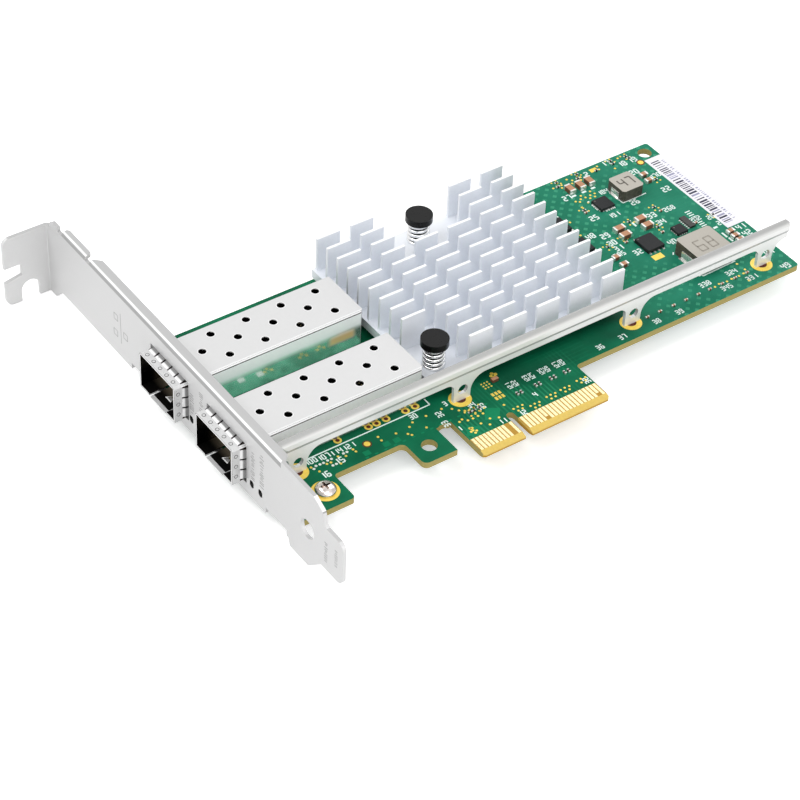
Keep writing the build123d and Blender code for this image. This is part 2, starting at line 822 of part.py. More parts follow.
leads = []
for i in range(leads_per_side):
    shift = (i - (leads_per_side - 1) / 2) * lead_pitch
    for side in (-1, 1):
        chip_x, chip_y = spot(power_chip_place)
        leads.append(slab(chip_x + shift, chip_y + side * (power_chip_length + power_lead_reach) / 2, lead_width,
                          power_lead_reach, lead_thick))
        for place in memory_places:
            x, y = spot(place)
            leads.append(slab(x + side * (memory_width + memory_lead_reach) / 2, y + shift, memory_lead_reach,
                              lead_width, lead_thick))
save("chip_leads", Compound(leads))

bodies = []
caps = []
core = bulk_length - 2 * bulk_cap
for place in upright_bulk_places:
    x, y = spot(place)
    bodies.append(slab(x, y, bulk_width, core, bulk_height))
    for side in (-1, 1):
        caps.append(slab(x, y + side * (core + bulk_cap) / 2, bulk_width, bulk_cap, bulk_height))
for place in level_bulk_places:
    x, y = spot(place)
    bodies.append(slab(x, y, core, bulk_width, bulk_height))
    for side in (-1, 1):
        caps.append(slab(x + side * (core + bulk_cap) / 2, y, bulk_cap, bulk_width, bulk_height))
save("bulk_capacitors", Compound(bodies))
save("bulk_capacitor_ends", Compound(caps))

small = [slab(*spot(place), medium_length, medium_width, medium_height) for place in medium_places]
small += [slab(*spot(place), small_length, small_width, small_height) for place in small_places]
row_y = rail_y - rail_thick / 2 - row_gap - small_width / 2
for inset in row_insets:
    small.append(slab(board_right - inset, row_y, small_length, small_width, small_height))
save("small_capacitors", Compound(small))
chips = [slab(*spot(place), small_length, small_width, small_height) for place in resistor_places]
save("resistors", Compound(chips))
coupling = []
for x in coupling_places:
    for side in (-0.5, 0.5):
        middle = x + side * coupling_spacing
        coupling.append(slab(middle, main_low - coupling_drop, small_width, small_length, small_height))
save("coupling_capacitors", Compound(coupling))
label_right = board_right - label_edge
label_top = board_top - label_drop
save("label", block(label_right - label_width, label_right, label_top - label_length, label_top, 0, label_thick))
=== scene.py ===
import math
import random

import bmesh
import bpy
from mathutils import Matrix, Vector


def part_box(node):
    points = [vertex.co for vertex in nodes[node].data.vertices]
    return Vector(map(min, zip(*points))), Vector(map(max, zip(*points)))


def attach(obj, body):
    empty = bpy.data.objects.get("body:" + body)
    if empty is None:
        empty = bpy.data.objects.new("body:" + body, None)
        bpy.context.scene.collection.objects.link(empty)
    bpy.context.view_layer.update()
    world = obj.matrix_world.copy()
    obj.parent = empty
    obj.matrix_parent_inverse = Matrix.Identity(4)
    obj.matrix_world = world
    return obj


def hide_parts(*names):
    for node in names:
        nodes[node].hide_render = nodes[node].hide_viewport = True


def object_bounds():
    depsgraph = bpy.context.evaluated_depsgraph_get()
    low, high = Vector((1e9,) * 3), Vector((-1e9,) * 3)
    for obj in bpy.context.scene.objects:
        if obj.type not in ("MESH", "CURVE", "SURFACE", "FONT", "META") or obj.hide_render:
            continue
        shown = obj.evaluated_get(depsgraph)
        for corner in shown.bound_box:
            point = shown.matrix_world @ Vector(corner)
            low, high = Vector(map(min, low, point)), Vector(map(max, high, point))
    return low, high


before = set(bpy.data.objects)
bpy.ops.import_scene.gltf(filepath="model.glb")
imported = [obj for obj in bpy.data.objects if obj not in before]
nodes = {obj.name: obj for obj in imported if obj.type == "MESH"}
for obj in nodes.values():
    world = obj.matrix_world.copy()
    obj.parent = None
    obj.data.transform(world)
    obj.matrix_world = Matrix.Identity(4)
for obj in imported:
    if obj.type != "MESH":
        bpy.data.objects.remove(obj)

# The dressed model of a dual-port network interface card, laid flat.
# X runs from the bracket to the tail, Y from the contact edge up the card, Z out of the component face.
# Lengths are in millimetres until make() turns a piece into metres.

cad_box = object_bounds()
MM = 0.001
dice = random.Random(7)
CAGES = ("near_port_cage", "far_port_cage")

# Places on the object, in millimetres, read from the frame

def mm_box(name):
    low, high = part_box(name)
    return [v / MM for v in low], [v / MM for v in high]


def solids(name):
    """The box of each separate solid in a node, as ((x0, y0, z0), (x1, y1, z1)) in millimetres."""
    bm = bmesh.new()
    bm.from_mesh(nodes[name].data)
    bmesh.ops.remove_doubles(bm, verts=bm.verts, dist=1e-6)
    left = set(bm.verts)
    boxes = []
    while left:
        stack = [left.pop()]
        low = list(stack[0].co)
        high = list(stack[0].co)
        while stack:
            vert = stack.pop()
            for axis in range(3):
                low[axis] = min(low[axis], vert.co[axis])
                high[axis] = max(high[axis], vert.co[axis])
            for edge in vert.link_edges:
                other = edge.other_vert(vert)
                if other in left:
                    left.remove(other)
                    stack.append(other)
        boxes.append((tuple(v / MM for v in low), tuple(v / MM for v in high)))
    bm.free()
    return sorted(boxes)


def middle(low, high, axis):
    return (low[axis] + high[axis]) / 2


# Materials

def new_material(name):
    m = bpy.data.materials.new(name)
    m.use_nodes = True
    nt = m.node_tree
    return m, nt, nt.nodes["Principled BSDF"]


def srgb(text):
    vals = [int(text[i:i + 2], 16) / 255 for i in (1, 3, 5)]
    return tuple(v / 12.92 if v <= 0.04045 else ((v + 0.055) / 1.055) ** 2.4 for v in vals)


def shade(colour, k):
    return tuple(min(1.0, c * k) for c in colour)


def noise(nt, scale, detail=3.0):
    co = nt.nodes.new("ShaderNodeTexCoord")
    n = nt.nodes.new("ShaderNodeTexNoise")
    n.inputs["Scale"].default_value = scale
    n.inputs["Detail"].default_value = detail
    nt.links.new(co.outputs["Object"], n.inputs["Vector"])
    return n.outputs["Fac"]


def ramp(nt, source, *stops):
    r = nt.nodes.new("ShaderNodeValToRGB")
    els = r.color_ramp.elements
    while len(els) < len(stops):
        els.new(0.5)
    for el, (pos, colour) in zip(els, stops):
        el.position = pos
        el.color = (*colour, 1)
    nt.links.new(source, r.inputs["Fac"])
    return r.outputs["Color"]


def calc(nt, operation, a, b=0.0, clamp=False):
    n = nt.nodes.new("ShaderNodeMath")
    n.operation = operation
    n.use_clamp = clamp
    for socket, value in zip(n.inputs, (a, b)):
        if isinstance(value, (int, float)):
            socket.default_value = value
        else:
            nt.links.new(value, socket)
    return n.outputs[0]


def times(nt, *factors):
    """The product of several factors, each a socket or a number."""
    total = factors[0]
    for factor in factors[1:]:
        total = calc(nt, "MULTIPLY", total, factor)
    return total


def over(nt, value, limit):
    return calc(nt, "GREATER_THAN", value, limit)


def under(nt, value, limit):
    return calc(nt, "LESS_THAN", value, limit)


def close_to(nt, value, spot, reach):
    """1 where value lies less than reach from spot."""
    return under(nt, calc(nt, "ABSOLUTE", calc(nt, "SUBTRACT", value, spot)), reach)


def any_of(nt, masks):
    """1 where one of the masks is 1."""
    total = masks[0]
    for mask in masks[1:]:
        total = calc(nt, "MAXIMUM", total, mask)
    return total


def blend(nt, factor, a, b):
    """Colour a where factor is 0 and colour b where it is 1; each may be a socket or a plain colour."""
    n = nt.nodes.new("ShaderNodeMix")
    n.data_type = "RGBA"
    nt.links.new(factor, n.inputs["Factor"])
    for socket, value in ((n.inputs[6], a), (n.inputs[7], b)):
        if isinstance(value, tuple):
            socket.default_value = (*value, 1)
        else:
            nt.links.new(value, socket)
    return n.outputs[2]


def tint(nt, base, colour, strength, *masks):
    """The base with some of a colour over it where every mask is 1."""
    return blend(nt, times(nt, *masks, strength), base, colour)


def place(nt):
    """X, Y and Z of the surface point in millimetres."""
    co = nt.nodes.new("ShaderNodeTexCoord")
    sep = nt.nodes.new("ShaderNodeSeparateXYZ")
    nt.links.new(co.outputs["Object"], sep.inputs[0])
    return [calc(nt, "MULTIPLY", sep.outputs[axis], 1 / MM) for axis in range(3)]


def facing(nt):
    """X, Y and Z of the surface's outward direction."""
    geo = nt.nodes.new("ShaderNodeNewGeometry")
    sep = nt.nodes.new("ShaderNodeSeparateXYZ")
    nt.links.new(geo.outputs["Normal"], sep.inputs[0])
    return sep.outputs


def between(nt, value, low, high):
    """A smooth step from 0 at low to 1 at high."""
    n = nt.nodes.new("ShaderNodeMapRange")
    n.interpolation_type = "SMOOTHSTEP"
    n.inputs["From Min"].default_value = low
    n.inputs["From Max"].default_value = high
    nt.links.new(value, n.inputs["Value"])
    return n.outputs["Result"]


def band(nt, value, start, full, wane, end):
    """1 between full and wane, falling smoothly to 0 at start and at end."""
    return times(nt, between(nt, value, start, full), between(nt, value, end, wane))


def bump(nt, bsdf, source, strength, distance):
    b = nt.nodes.new("ShaderNodeBump")
    b.inputs["Strength"].default_value = strength
    b.inputs["Distance"].default_value = distance
    nt.links.new(source, b.inputs["Height"])
    nt.links.new(b.outputs["Normal"], bsdf.inputs["Normal"])


def mottled(nt, grain, colour, depth):
    """The colour in soft spots that are darker and lighter by a share of depth."""
    return ramp(nt, noise(nt, grain), (0.3, shade(colour, 1 - depth)), (0.7, shade(colour, 1 + depth)))


def surface(name, colour, rough, metal, grain, depth, rise, shine=0.5):
    """A moulded, painted or plated surface: mottled colour, uneven gloss and a bump of rise micrometres."""
    m, nt, bsdf = new_material(name)
    n = noise(nt, grain)
    nt.links.new(mottled(nt, grain, srgb(colour), depth), bsdf.inputs["Base Color"])
    gloss = ramp(nt, n, (0.2, (rough * 0.85,) * 3), (0.8, (min(1, rough * 1.15),) * 3))
    nt.links.new(gloss, bsdf.inputs["Roughness"])
    bsdf.inputs["Metallic"].default_value = metal
    bsdf.inputs["Specular IOR Level"].default_value = shine
    if rise:
        bump(nt, bsdf, n, 0.25, rise * 1e-6)
    return m


# Each surface: material name, colour, roughness, metal, grain, depth, bump in micrometres and, where it isn't
# plain, the strength of its highlights
SURFACES = {
    "steel": ("plated_steel", "#d7d7d7", 0.4, 0.3, 1500, 0.01, 1),
    "cage": ("cage_steel", "#d9d9d9", 0.26, 0.6, 900, 0.008, 0),
    "rail": ("rail_steel", "#ededec", 0.35, 0.25, 1400, 0.01, 0),
    "collar": ("collar_steel", "#dcdcdc", 0.3, 0.45, 2500, 0.015, 0),
    # The vent rims' near-white is a painted highlight on the cage steel
    "rim": ("vent_rim_highlight", "#f4f4f4", 0.3, 0.3, 2500, 0.01, 3),
    "bright": ("bright_plating", "#ececec", 0.18, 1.0, 2500, 0.01, 0),
    "black": ("black_plastic", "#0a0a0a", 0.3, 0.0, 2500, 0.2, 3, 0.22),
    "sink": ("anodised_aluminium", "#eef1f6", 0.35, 0.25, 1800, 0.015, 6),
    "chip": ("chip_mould", "#17191b", 0.5, 0.0, 4000, 0.15, 10, 0.25),
    "coil": ("coil_powder", "#b5b0a6", 0.5, 0.0, 5000, 0.06, 10),
    "tin": ("tinned_metal", "#e6e6e2", 0.25, 0.7, 4000, 0.04, 6),
    "gold": ("contact_gold", "#ffeeb8", 0.28, 0.35, 2500, 0.03, 4),
    "ring": ("solder_ring", "#ffd95a", 0.3, 0.12, 1200, 0.05, 4),
    "ceramic": ("capacitor_ceramic", "#b5825f", 0.4, 0.0, 4000, 0.08, 10),
    "dark_ceramic": ("dark_ceramic", "#4a3a31", 0.4, 0.0, 4000, 0.1, 10),
    "resistor": ("resistor_glaze", "#211f1b", 0.35, 0.0, 4000, 0.15, 10),
    "pad": ("thermal_pad", "#8b8d90", 0.8, 0.0, 3000, 0.1, 20),
    "resin": ("light_resin", "#0b0b0a", 0.5, 0.0, 2000, 0.1, 4, 0.15),
    "paper": ("label_paper", "#f1f0f6", 0.7, 0.0, 6000, 0.015, 6),
    "ink": ("label_ink", "#2e2e45", 0.7, 0.0, 700, 0.5, 4),
    "faint_ink": ("faint_ink", "#9a9ab4", 0.7, 0.0, 900, 0.15, 4),
    # The screws' brownish mottling is a painted reflection
    "screw": ("screw_painted_reflection", "#d9d0cb", 0.16, 1.0, 650, 0.28, 0),
    "silk": ("silkscreen", "#eefcf7", 0.6, 0.0, 6000, 0.03, 4),
    "edge_green": ("bright_mask", "#0f7f55", 0.5, 0.0, 3000, 0.08, 6, 0.1),
    "hole": ("plated_hole", "#5c2008", 0.4, 0.3, 4000, 0.3, 6),
    "etch": ("etched_mark", "#ababab", 0.6, 0.2, 5000, 0.05, 4),
    # The dimple rims' dark grey is painted shade
    "dimple_shade": ("dimple_rim_shade", "#4c4c4c", 0.5, 0.3, 5000, 0.1, 4),
    "bare": ("bare_joint", "#f2f6f2", 0.3, 0.3, 4000, 0.05, 6),
    "faint_stamp": ("faint_stamp", "#958f85", 0.6, 0.0, 4000, 0.1, 6),
    "stamp": ("coil_stamp", "#5c574f", 0.6, 0.0, 4000, 0.1, 6),
}
mats = {key: surface(*values) for key, values in SURFACES.items()}


# Tones that change over a piece. Each function takes a material's colour socket and gives back a new one.

# The cages' sheet and stand-off, and how closely the painted shade inside them follows their walls
CAGE_WALL = 0.3
CAGE_STANDOFF = 0.3
INNER_SLACK = 0.06
CAGE_FLOOR_TOP = 0.16
MOUTH_EDGE = 0.05
# How far sideways the folded edge and the walls of a cage face, and where the painted shade line below the fold
# starts
FOLD_FROM, WALL_FROM = 0.4, 0.9
FOLD_SHADE_FROM = 9.03
# Below the lower height a wall carries a painted reflection of the board, above the upper one of the pale room
MIRROR_LOW, MIRROR_HIGH = 4.4, 6.6
# Measured back from the mouth: the stretch under the collar's fingers, painted in shade, and the lip below them,
# painted light
FINGERS_FROM, FINGERS_TO = 1.95, 4.2
LIP_LENGTH = 4.5
LIP_TOP = 0.2
GAP_MIDDLE = 40


def cage_tones(nt, old):
    """Painted light and shade on a cage: shade inside with a warm pool of light, reflections on the walls,
    highlights on the edges.
    """
    x, y, z = place(nt)
    across = []
    for name in CAGES:
        low, high = mm_box(name)
        half = (high[1] - low[1]) / 2 - CAGE_WALL + INNER_SLACK
        across.append(close_to(nt, y, middle(low, high, 1), half))
    low, high = mm_box(CAGES[0])
    mouth = low[0]
    # Painted shade inside the cage
    inside = times(nt, any_of(nt, across), under(nt, z, high[2] - CAGE_WALL + INNER_SLACK),
                   over(nt, z, CAGE_FLOOR_TOP), over(nt, x, mouth + MOUTH_EDGE))
    # A painted pool of warm light on the floor inside the mouth
    warm = times(nt, band(nt, x, mouth + 2.5, mouth + 6.5, mouth + 8, mouth + 16), between(nt, z, 6.0, 1.0))
    dark = blend(nt, warm, srgb("#0d0c0b"), srgb("#b3a48c"))
    # The folded long edges take a painted highlight above a line of painted shade
    normal = facing(nt)
    sideways = calc(nt, "ABSOLUTE", normal[1])
    fold = times(nt, over(nt, sideways, FOLD_FROM), under(nt, sideways, WALL_FROM))
    wall = over(nt, sideways, WALL_FROM)
    fold_shade = times(nt, wall, over(nt, z, FOLD_SHADE_FROM))
    # Painted reflections on the walls: the board low down, with a warm patch near the back of the far cage's
    # near wall
    mirror = blend(nt, between(nt, noise(nt, 120, 2), 0.42, 0.58), srgb("#e9f2ee"), srgb("#c3cbc6"))
    far_wall = times(nt, under(nt, normal[1], -WALL_FROM), over(nt, y, GAP_MIDDLE))
    amber_reflection = times(nt, band(nt, x, -23.5, -21.5, -16.5, -15.0), band(nt, z, 2.6, 3.6, 5.0, 6.4), far_wall)
    mirror = blend(nt, amber_reflection, mirror, srgb("#e3c08c"))
    walls = blend(nt, between(nt, z, MIRROR_HIGH, MIRROR_LOW), srgb("#fefefe"), mirror)
    skin = blend(nt, fold, blend(nt, wall, old, walls), srgb("#ececec"))
    skin = blend(nt, fold_shade, skin, srgb("#454341"))
    plain_wall = times(nt, wall, calc(nt, "MAXIMUM", amber_reflection, between(nt, z, MIRROR_LOW, MIRROR_HIGH)))
    metal = calc(nt, "ADD", 0.4, times(nt, wall, 0.4))
    bsdf = nt.nodes["Principled BSDF"]
    nt.links.new(calc(nt, "SUBTRACT", metal, times(nt, plain_wall, 0.8), clamp=True), bsdf.inputs["Metallic"])
    nt.links.new(calc(nt, "SUBTRACT", 0.3, times(nt, wall, 0.16)), bsdf.inputs["Roughness"])
    # Painted shade under the fingers of the collar, and painted light on the lip and front edge of the mouth
    finger_shade = times(nt, over(nt, x, mouth + FINGERS_FROM), under(nt, x, mouth + FINGERS_TO),
                    calc(nt, "SUBTRACT", 1.0, fold))
    skin = blend(nt, finger_shade, skin, srgb("#2c1d16"))
    lip = times(nt, under(nt, x, mouth + LIP_LENGTH), under(nt, z, LIP_TOP))
    skin = blend(nt, lip, skin, srgb("#f6f6f6"))
    skin = blend(nt, under(nt, x, mouth + MOUTH_EDGE), skin, srgb("#f2f2f2"))
    return blend(nt, inside, skin, dark)


# The bracket's outer face, the start of its flange, and how far the painted shade on the walls of the indicator
# slots reaches
BRACKET_FACE = -59.05
FLANGE_LOW = 13.9
FLANGE_FRONT = -57.8
SLOT_DEPTH = 0.07
SLOT_HALF_Y, SLOT_HALF_Z = 1.2, 1.4


def bracket_tones(nt, old):
    """Painted light and shade: the flange darker than the face, a shade line and a highlight on the fold, and
    shade in the slots.
    """
    x, y, z = place(nt)
    upward = facing(nt)[2]
    fold = times(nt, over(nt, z, FLANGE_LOW), under(nt, x, FLANGE_FRONT))
    # A painted shade line and a painted highlight along the fold, and painted shade on the up-facing flange
    skin = tint(nt, old, srgb("#8f8f8f"), 0.75, band(nt, upward, 0.04, 0.14, 0.68, 0.82), fold)
    skin = blend(nt, times(nt, band(nt, upward, 0.68, 0.82, 0.94, 0.98), fold), skin, srgb("#f4f4f4"))
    skin = blend(nt, between(nt, upward, 0.93, 0.99), skin, srgb("#bababa"))
    slots = []
    for low, high in solids("status_lights"):
        beside = close_to(nt, y, middle(low, high, 1), SLOT_HALF_Y)
        slots.append(times(nt, beside, close_to(nt, z, middle(low, high, 2), SLOT_HALF_Z)))
    slot_shade = times(nt, any_of(nt, slots), over(nt, x, BRACKET_FACE + SLOT_DEPTH))
    return blend(nt, slot_shade, skin, srgb("#242424"))


# The flat of the rail's bead lies above this height, and takes the painted shade of the flanks
BEAD_FLAT = 10.02


def rail_tones(nt, old):
    """Painted shade on the flanks and flat of the rail's bead, and painted light on the rail's back."""
    z = place(nt)[2]
    normal = facing(nt)
    slope = band(nt, calc(nt, "ABSOLUTE", normal[2]), 0.08, 0.3, 0.85, 0.98)
    slope = any_of(nt, [slope, over(nt, z, BEAD_FLAT)])
    upper = blend(nt, between(nt, z, 10.3, 9.2), srgb("#aeaead"), srgb("#e0e0de"))
    shade_tone = blend(nt, between(nt, z, 7.9, 8.1), srgb("#b2b2b2"), upper)
    # Painted light on the rail's back
    plain = blend(nt, over(nt, normal[1], 0.9), old, srgb("#fdfdfd"))
    return blend(nt, slope, plain, shade_tone)


# The sink's base plate lies below this height
PLATE_UP_TO = 4.6


def sink_tones(nt, old):
    """The cut top faces of the fins are painted near-white as a highlight, and the base plate is paler than the
    fins.
    """
    z = place(nt)[2]
    tops = over(nt, z, mm_box("heat_sink")[1][2] - 0.06)
    base = under(nt, z, PLATE_UP_TO)
    return blend(nt, tops, blend(nt, base, old, srgb("#f0f3f8")), srgb("#fdfdfe"))


def coil_tones(nt, old):
    """The coils' sides are coloured dark, and their tops are powdered."""
    return blend(nt, between(nt, facing(nt)[2], 0.3, 0.8), mottled(nt, 1500, srgb("#4b443c"), 0.3), old)


def collar_tones(nt, old):
    """The collar's fingers take a painted highlight, then painted shade where they bend in to the window; the
    front edge is darker grey.
    """
    mouth = mm_box("near_spring_collar")[0][0]
    x = place(nt)[0]
    bright = blend(nt, between(nt, x, mouth + 1.85, mouth + 2.0), old, srgb("#f0f0f0"))
    bowed = blend(nt, between(nt, x, mouth + 2.3, mouth + 2.7), bright, srgb("#7c7c7c"))
    return blend(nt, under(nt, x, mouth + 0.04), bowed, srgb("#a0a0a0"))


def ceramic_tones(nt, old):
    """Painted light: the capacitors' tops are paler than their sides, which are painted in shade."""
    return blend(nt, between(nt, facing(nt)[2], 0.4, 0.9), mottled(nt, 4000, srgb("#6d4431"), 0.1), old)


for key, tones in (("cage", cage_tones), ("steel", bracket_tones), ("rail", rail_tones), ("sink", sink_tones),
                   ("coil", coil_tones), ("collar", collar_tones), ("ceramic", ceramic_tones)):
    tree = mats[key].node_tree
    colour = tree.nodes["Principled BSDF"].inputs["Base Color"]
    tree.links.new(tones(tree, colour.links[0].from_socket), colour)


# Pitch of the copper diamonds, the outline of the contact tongue, and where the cages end
DIAMOND_PITCH = 3.1
TONGUE_TOP = 5.35
TONGUE_LEFT, TONGUE_RIGHT = -12.1, 22.1
CAGE_BACK = -13.2


def board_material():
    m, nt, bsdf = new_material("board_mask")
    x, y, z = place(nt)
    cloud = noise(nt, 120, 4)
    green = ramp(nt, cloud, (0.3, srgb("#035a3c")), (0.7, srgb("#0b6f4c")))
    pale = ramp(nt, cloud, (0.3, srgb("#1a765b")), (0.7, srgb("#28846a")))
    # Painted sheen: the board is paler towards the tail
    green = tint(nt, green, pale, 0.9, between(nt, x, 25, 66))
    # A grid of faint diamonds, the copper fill under the mask towards the tail
    steps = []
    for axis in (calc(nt, "ADD", x, y), calc(nt, "SUBTRACT", x, y)):
        step = calc(nt, "SUBTRACT", calc(nt, "FRACT", times(nt, axis, 1 / DIAMOND_PITCH)), 0.5)
        steps.append(calc(nt, "ABSOLUTE", step))
    green = tint(nt, green, srgb("#4aa883"), 0.55, under(nt, any_of(nt, steps), 0.21), between(nt, x, 48, 54),
                 between(nt, noise(nt, 70, 1), 0.38, 0.5))
    # Traces run up from the contacts under the mask
    green = tint(nt, green, srgb("#2b9468"), 0.45, under(nt, calc(nt, "FRACT", x), 0.4),
                 band(nt, x, -13, -11, 21, 24), between(nt, y, 21, 13), between(nt, noise(nt, 90, 2), 0.4, 0.6))
    # Long traces run along the card near the rail
    green = tint(nt, green, srgb("#2f9c70"), 0.08, under(nt, calc(nt, "FRACT", times(nt, y, 0.9)), 0.3),
                 between(nt, noise(nt, 45, 1), 0.52, 0.56), between(nt, x, -14, -10))
    # Painted shade lies along the foot of the rail, darker in patches
    green = tint(nt, green, srgb("#053a28"), 0.6, between(nt, y, 12.5, 16.5), band(nt, x, -2, 8, 40, 52),
                 between(nt, noise(nt, 60, 2), 0.35, 0.6))
    # Between the cages the board is painted paler, as light in the narrow gap
    green = tint(nt, green, mottled(nt, 500, srgb("#4fb892"), 0.15), 0.8, band(nt, y, 34.9, 35.4, 43.7, 44.2),
                 under(nt, x, CAGE_BACK))
    # The contact tongue and the cut edges of the board are bare gold-brown laminate
    tongue = times(nt, under(nt, y, TONGUE_TOP), over(nt, x, TONGUE_LEFT), under(nt, x, TONGUE_RIGHT))
    green = blend(nt, tongue, green, mottled(nt, 1800, srgb("#b58c3c"), 0.06))
    side = under(nt, calc(nt, "ABSOLUTE", facing(nt)[2]), 0.99)
    lip = blend(nt, between(nt, z, -0.75, -0.6), mottled(nt, 1800, srgb("#b38b34"), 0.05),
                mottled(nt, 1800, srgb("#d9bc64"), 0.05))
    edge = blend(nt, tongue, mottled(nt, 1800, srgb("#a3965c"), 0.08), lip)
    nt.links.new(blend(nt, side, green, edge), bsdf.inputs["Base Color"])
    bsdf.inputs["Roughness"].default_value = 0.5
    bsdf.inputs["Specular IOR Level"].default_value = 0.1
    bump(nt, bsdf, cloud, 0.1, 0.00001)
    return m


mats["board"] = board_material()


# The nodes of the part that stay in view, with their surfaces and softly rounded edges

look = {
    "circuit_board": "board", "edge_contacts": "gold", "bracket": "steel", "bracket_screws": "bright",
    "near_port_cage": "cage", "far_port_cage": "cage", "near_spring_collar": "collar",
    "far_spring_collar": "collar", "near_host_connector": "black", "far_host_connector": "black",
    "near_host_contacts": "gold", "far_host_contacts": "gold", "heat_sink": "sink", "thermal_pad": "pad",
    "controller_chip": "chip", "near_push_pin": "black", "far_push_pin": "black", "near_pin_spring": "bright",
    "far_pin_spring": "bright", "stiffener_rail": "rail", "status_lights": "resin", "large_inductor": "coil",
    "small_inductor": "coil", "power_chip": "chip", "regulator_chip": "chip", "small_regulator_chip": "chip",
    "memory_chips": "chip", "chip_leads": "tin", "bulk_capacitors": "ceramic", "bulk_capacitor_ends": "tin",
    "small_capacitors": "ceramic", "coupling_capacitors": "ceramic", "resistors": "resistor",
    "resistor_pack": "resistor", "label": "paper",
}
# Width of the rounded edges of the carried-over nodes, in millimetres
soft_edges = {
    "bracket": 0.12, "near_port_cage": 0.05, "far_port_cage": 0.05, "heat_sink": 0.06, "stiffener_rail": 0.12,
    "large_inductor": 0.3, "small_inductor": 0.25, "power_chip": 0.12, "regulator_chip": 0.1,
    "small_regulator_chip": 0.1, "memory_chips": 0.15, "bulk_capacitors": 0.05, "bulk_capacitor_ends": 0.12,
    "circuit_board": 0.05, "near_push_pin": 0.25, "far_push_pin": 0.25, "status_lights": 0.1,
    "near_spring_collar": 0.03, "far_spring_collar": 0.03, "resistor_pack": 0.06,
}
EDGE_SEGMENTS = 2
EDGE_ANGLE = 50

for name, ob in nodes.items():
    ob.data.materials.clear()
    ob.data.materials.append(mats[look[name]])
    if name in soft_edges:
        mod = ob.modifiers.new("soft_edge", "BEVEL")
        mod.width = soft_edges[name] * MM
        mod.segments = EDGE_SEGMENTS
        mod.limit_method = "ANGLE"
        mod.angle_limit = math.radians(EDGE_ANGLE)
        mod.use_clamp_overlap = True


# Mesh tools

def prism(bm, points, z0, z1):
    """An upright solid between two heights, on any outline."""
    low = [bm.verts.new((x, y, z0)) for x, y in points]
    high = [bm.verts.new((x, y, z1)) for x, y in points]
    bm.faces.new(reversed(low))
    bm.faces.new(high)
    for i in range(len(points)):
        j = (i + 1) % len(points)
        bm.faces.new((low[i], low[j], high[j], high[i]))


def circle(x, y, radius, count):
    return [(x + radius * math.cos(i * math.tau / count), y + radius * math.sin(i * math.tau / count))
            for i in range(count)]


def disc(bm, x, y, radius, z0, z1, count=20):
    prism(bm, circle(x, y, radius, count), z0, z1)


def loft(bm, rows):
    """Faces between rings of vertices, each joined to the next."""
    count = len(rows[0])
    for a, b in zip(rows, rows[1:]):
        for i in range(count):
            j = (i + 1) % count
            bm.faces.new((a[i], a[j], b[j], b[i]))


def rings(bm, x, y, profile, count):
    """Level rings of vertices, one for each (radius, height) of the profile."""
    return [[bm.verts.new((px, py, z)) for px, py in circle(x, y, radius, count)] for radius, z in profile]


def ring(bm, x, y, inner, outer, z0, z1, count=28):
    rows = rings(bm, x, y, ((inner, z0), (outer, z0), (outer, z1), (inner, z1)), count)
    loft(bm, rows + rows[:1])


def lathe(bm, x, y, profile, count=48):
    """A closed solid of revolution. The profile runs from the axis to the axis."""
    first = bm.verts.new((x, y, profile[0][1]))
    last = bm.verts.new((x, y, profile[-1][1]))
    rows = rings(bm, x, y, profile[1:-1], count)
    for i in range(count):
        j = (i + 1) % count
        bm.faces.new((first, rows[0][j], rows[0][i]))
        bm.faces.new((last, rows[-1][i], rows[-1][j]))
    loft(bm, rows)


def stroke(bm, p, q, width, z0, z1):
    """A straight line of the given width from p to q."""
    p, q = Vector(p), Vector(q)
    side = (q - p).normalized().orthogonal() * width / 2
    prism(bm, [p + side, p - side, q - side, q + side], z0, z1)


def join(bm, part):
    """Moves the mesh of a part into bm."""
    me = bpy.data.meshes.new("part")
    part.to_mesh(me)
    part.free()
    bm.from_mesh(me)
    bpy.data.meshes.remove(me)


def brick(bm, low, high, bevel=0.0):
    """A block from corner to corner, with rounded edges where bevel is given."""
    part = bmesh.new()
    prism(part, [(low[0], low[1]), (high[0], low[1]), (high[0], high[1]), (low[0], high[1])], low[2], high[2])
    if bevel:
        bmesh.ops.bevel(part, geom=part.edges[:], offset=bevel, segments=2, affect="EDGES", profile=0.5)
    join(bm, part)


def pad(bm, x, y, half_x, half_y, top, bevel=0.0):
    """A block on the board, centred on x and y."""
    brick(bm, (x - half_x, y - half_y, 0), (x + half_x, y + half_y, top), bevel)


def make(name, bm, material, stands_for=(), turn=None, smooth=False):
    """Turns a mesh in millimetres into a piece of the scene in metres."""
    if turn is not None:
        bmesh.ops.transform(bm, matrix=turn, verts=bm.verts)
    bmesh.ops.scale(bm, vec=(MM, MM, MM), verts=bm.verts)
    bmesh.ops.recalc_face_normals(bm, faces=bm.faces)
    me = bpy.data.meshes.new(name)
    bm.to_mesh(me)
    bm.free()
    if smooth:
        me.shade_smooth()
        me.set_sharp_from_angle(angle=math.radians(40))
    me.materials.append(mats[material])
    ob = bpy.data.objects.new(name, me)
    bpy.context.scene.collection.objects.link(ob)
    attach(ob, "root")
    if stands_for:
        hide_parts(*stands_for)
    return ob


# Printed lines and plain numbers on the board

SEGMENTS = {"0": "abcdef", "1": "bc", "2": "abged", "3": "abgcd", "4": "fgbc", "5": "afgcd", "6": "afgedc",
            "7": "abc", "8": "abcdefg", "9": "abcdfg"}
ENDS = {"a": ((0, 2), (1, 2)), "b": ((1, 2), (1, 1)), "c": ((1, 1), (1, 0)), "d": ((0, 0), (1, 0)),
        "e": ((0, 1), (0, 0)), "f": ((0, 2), (0, 1)), "g": ((0, 1), (1, 1))}
# Width and pitch of a digit as shares of its height
DIGIT_WIDTH, DIGIT_PITCH = 0.48, 0.82


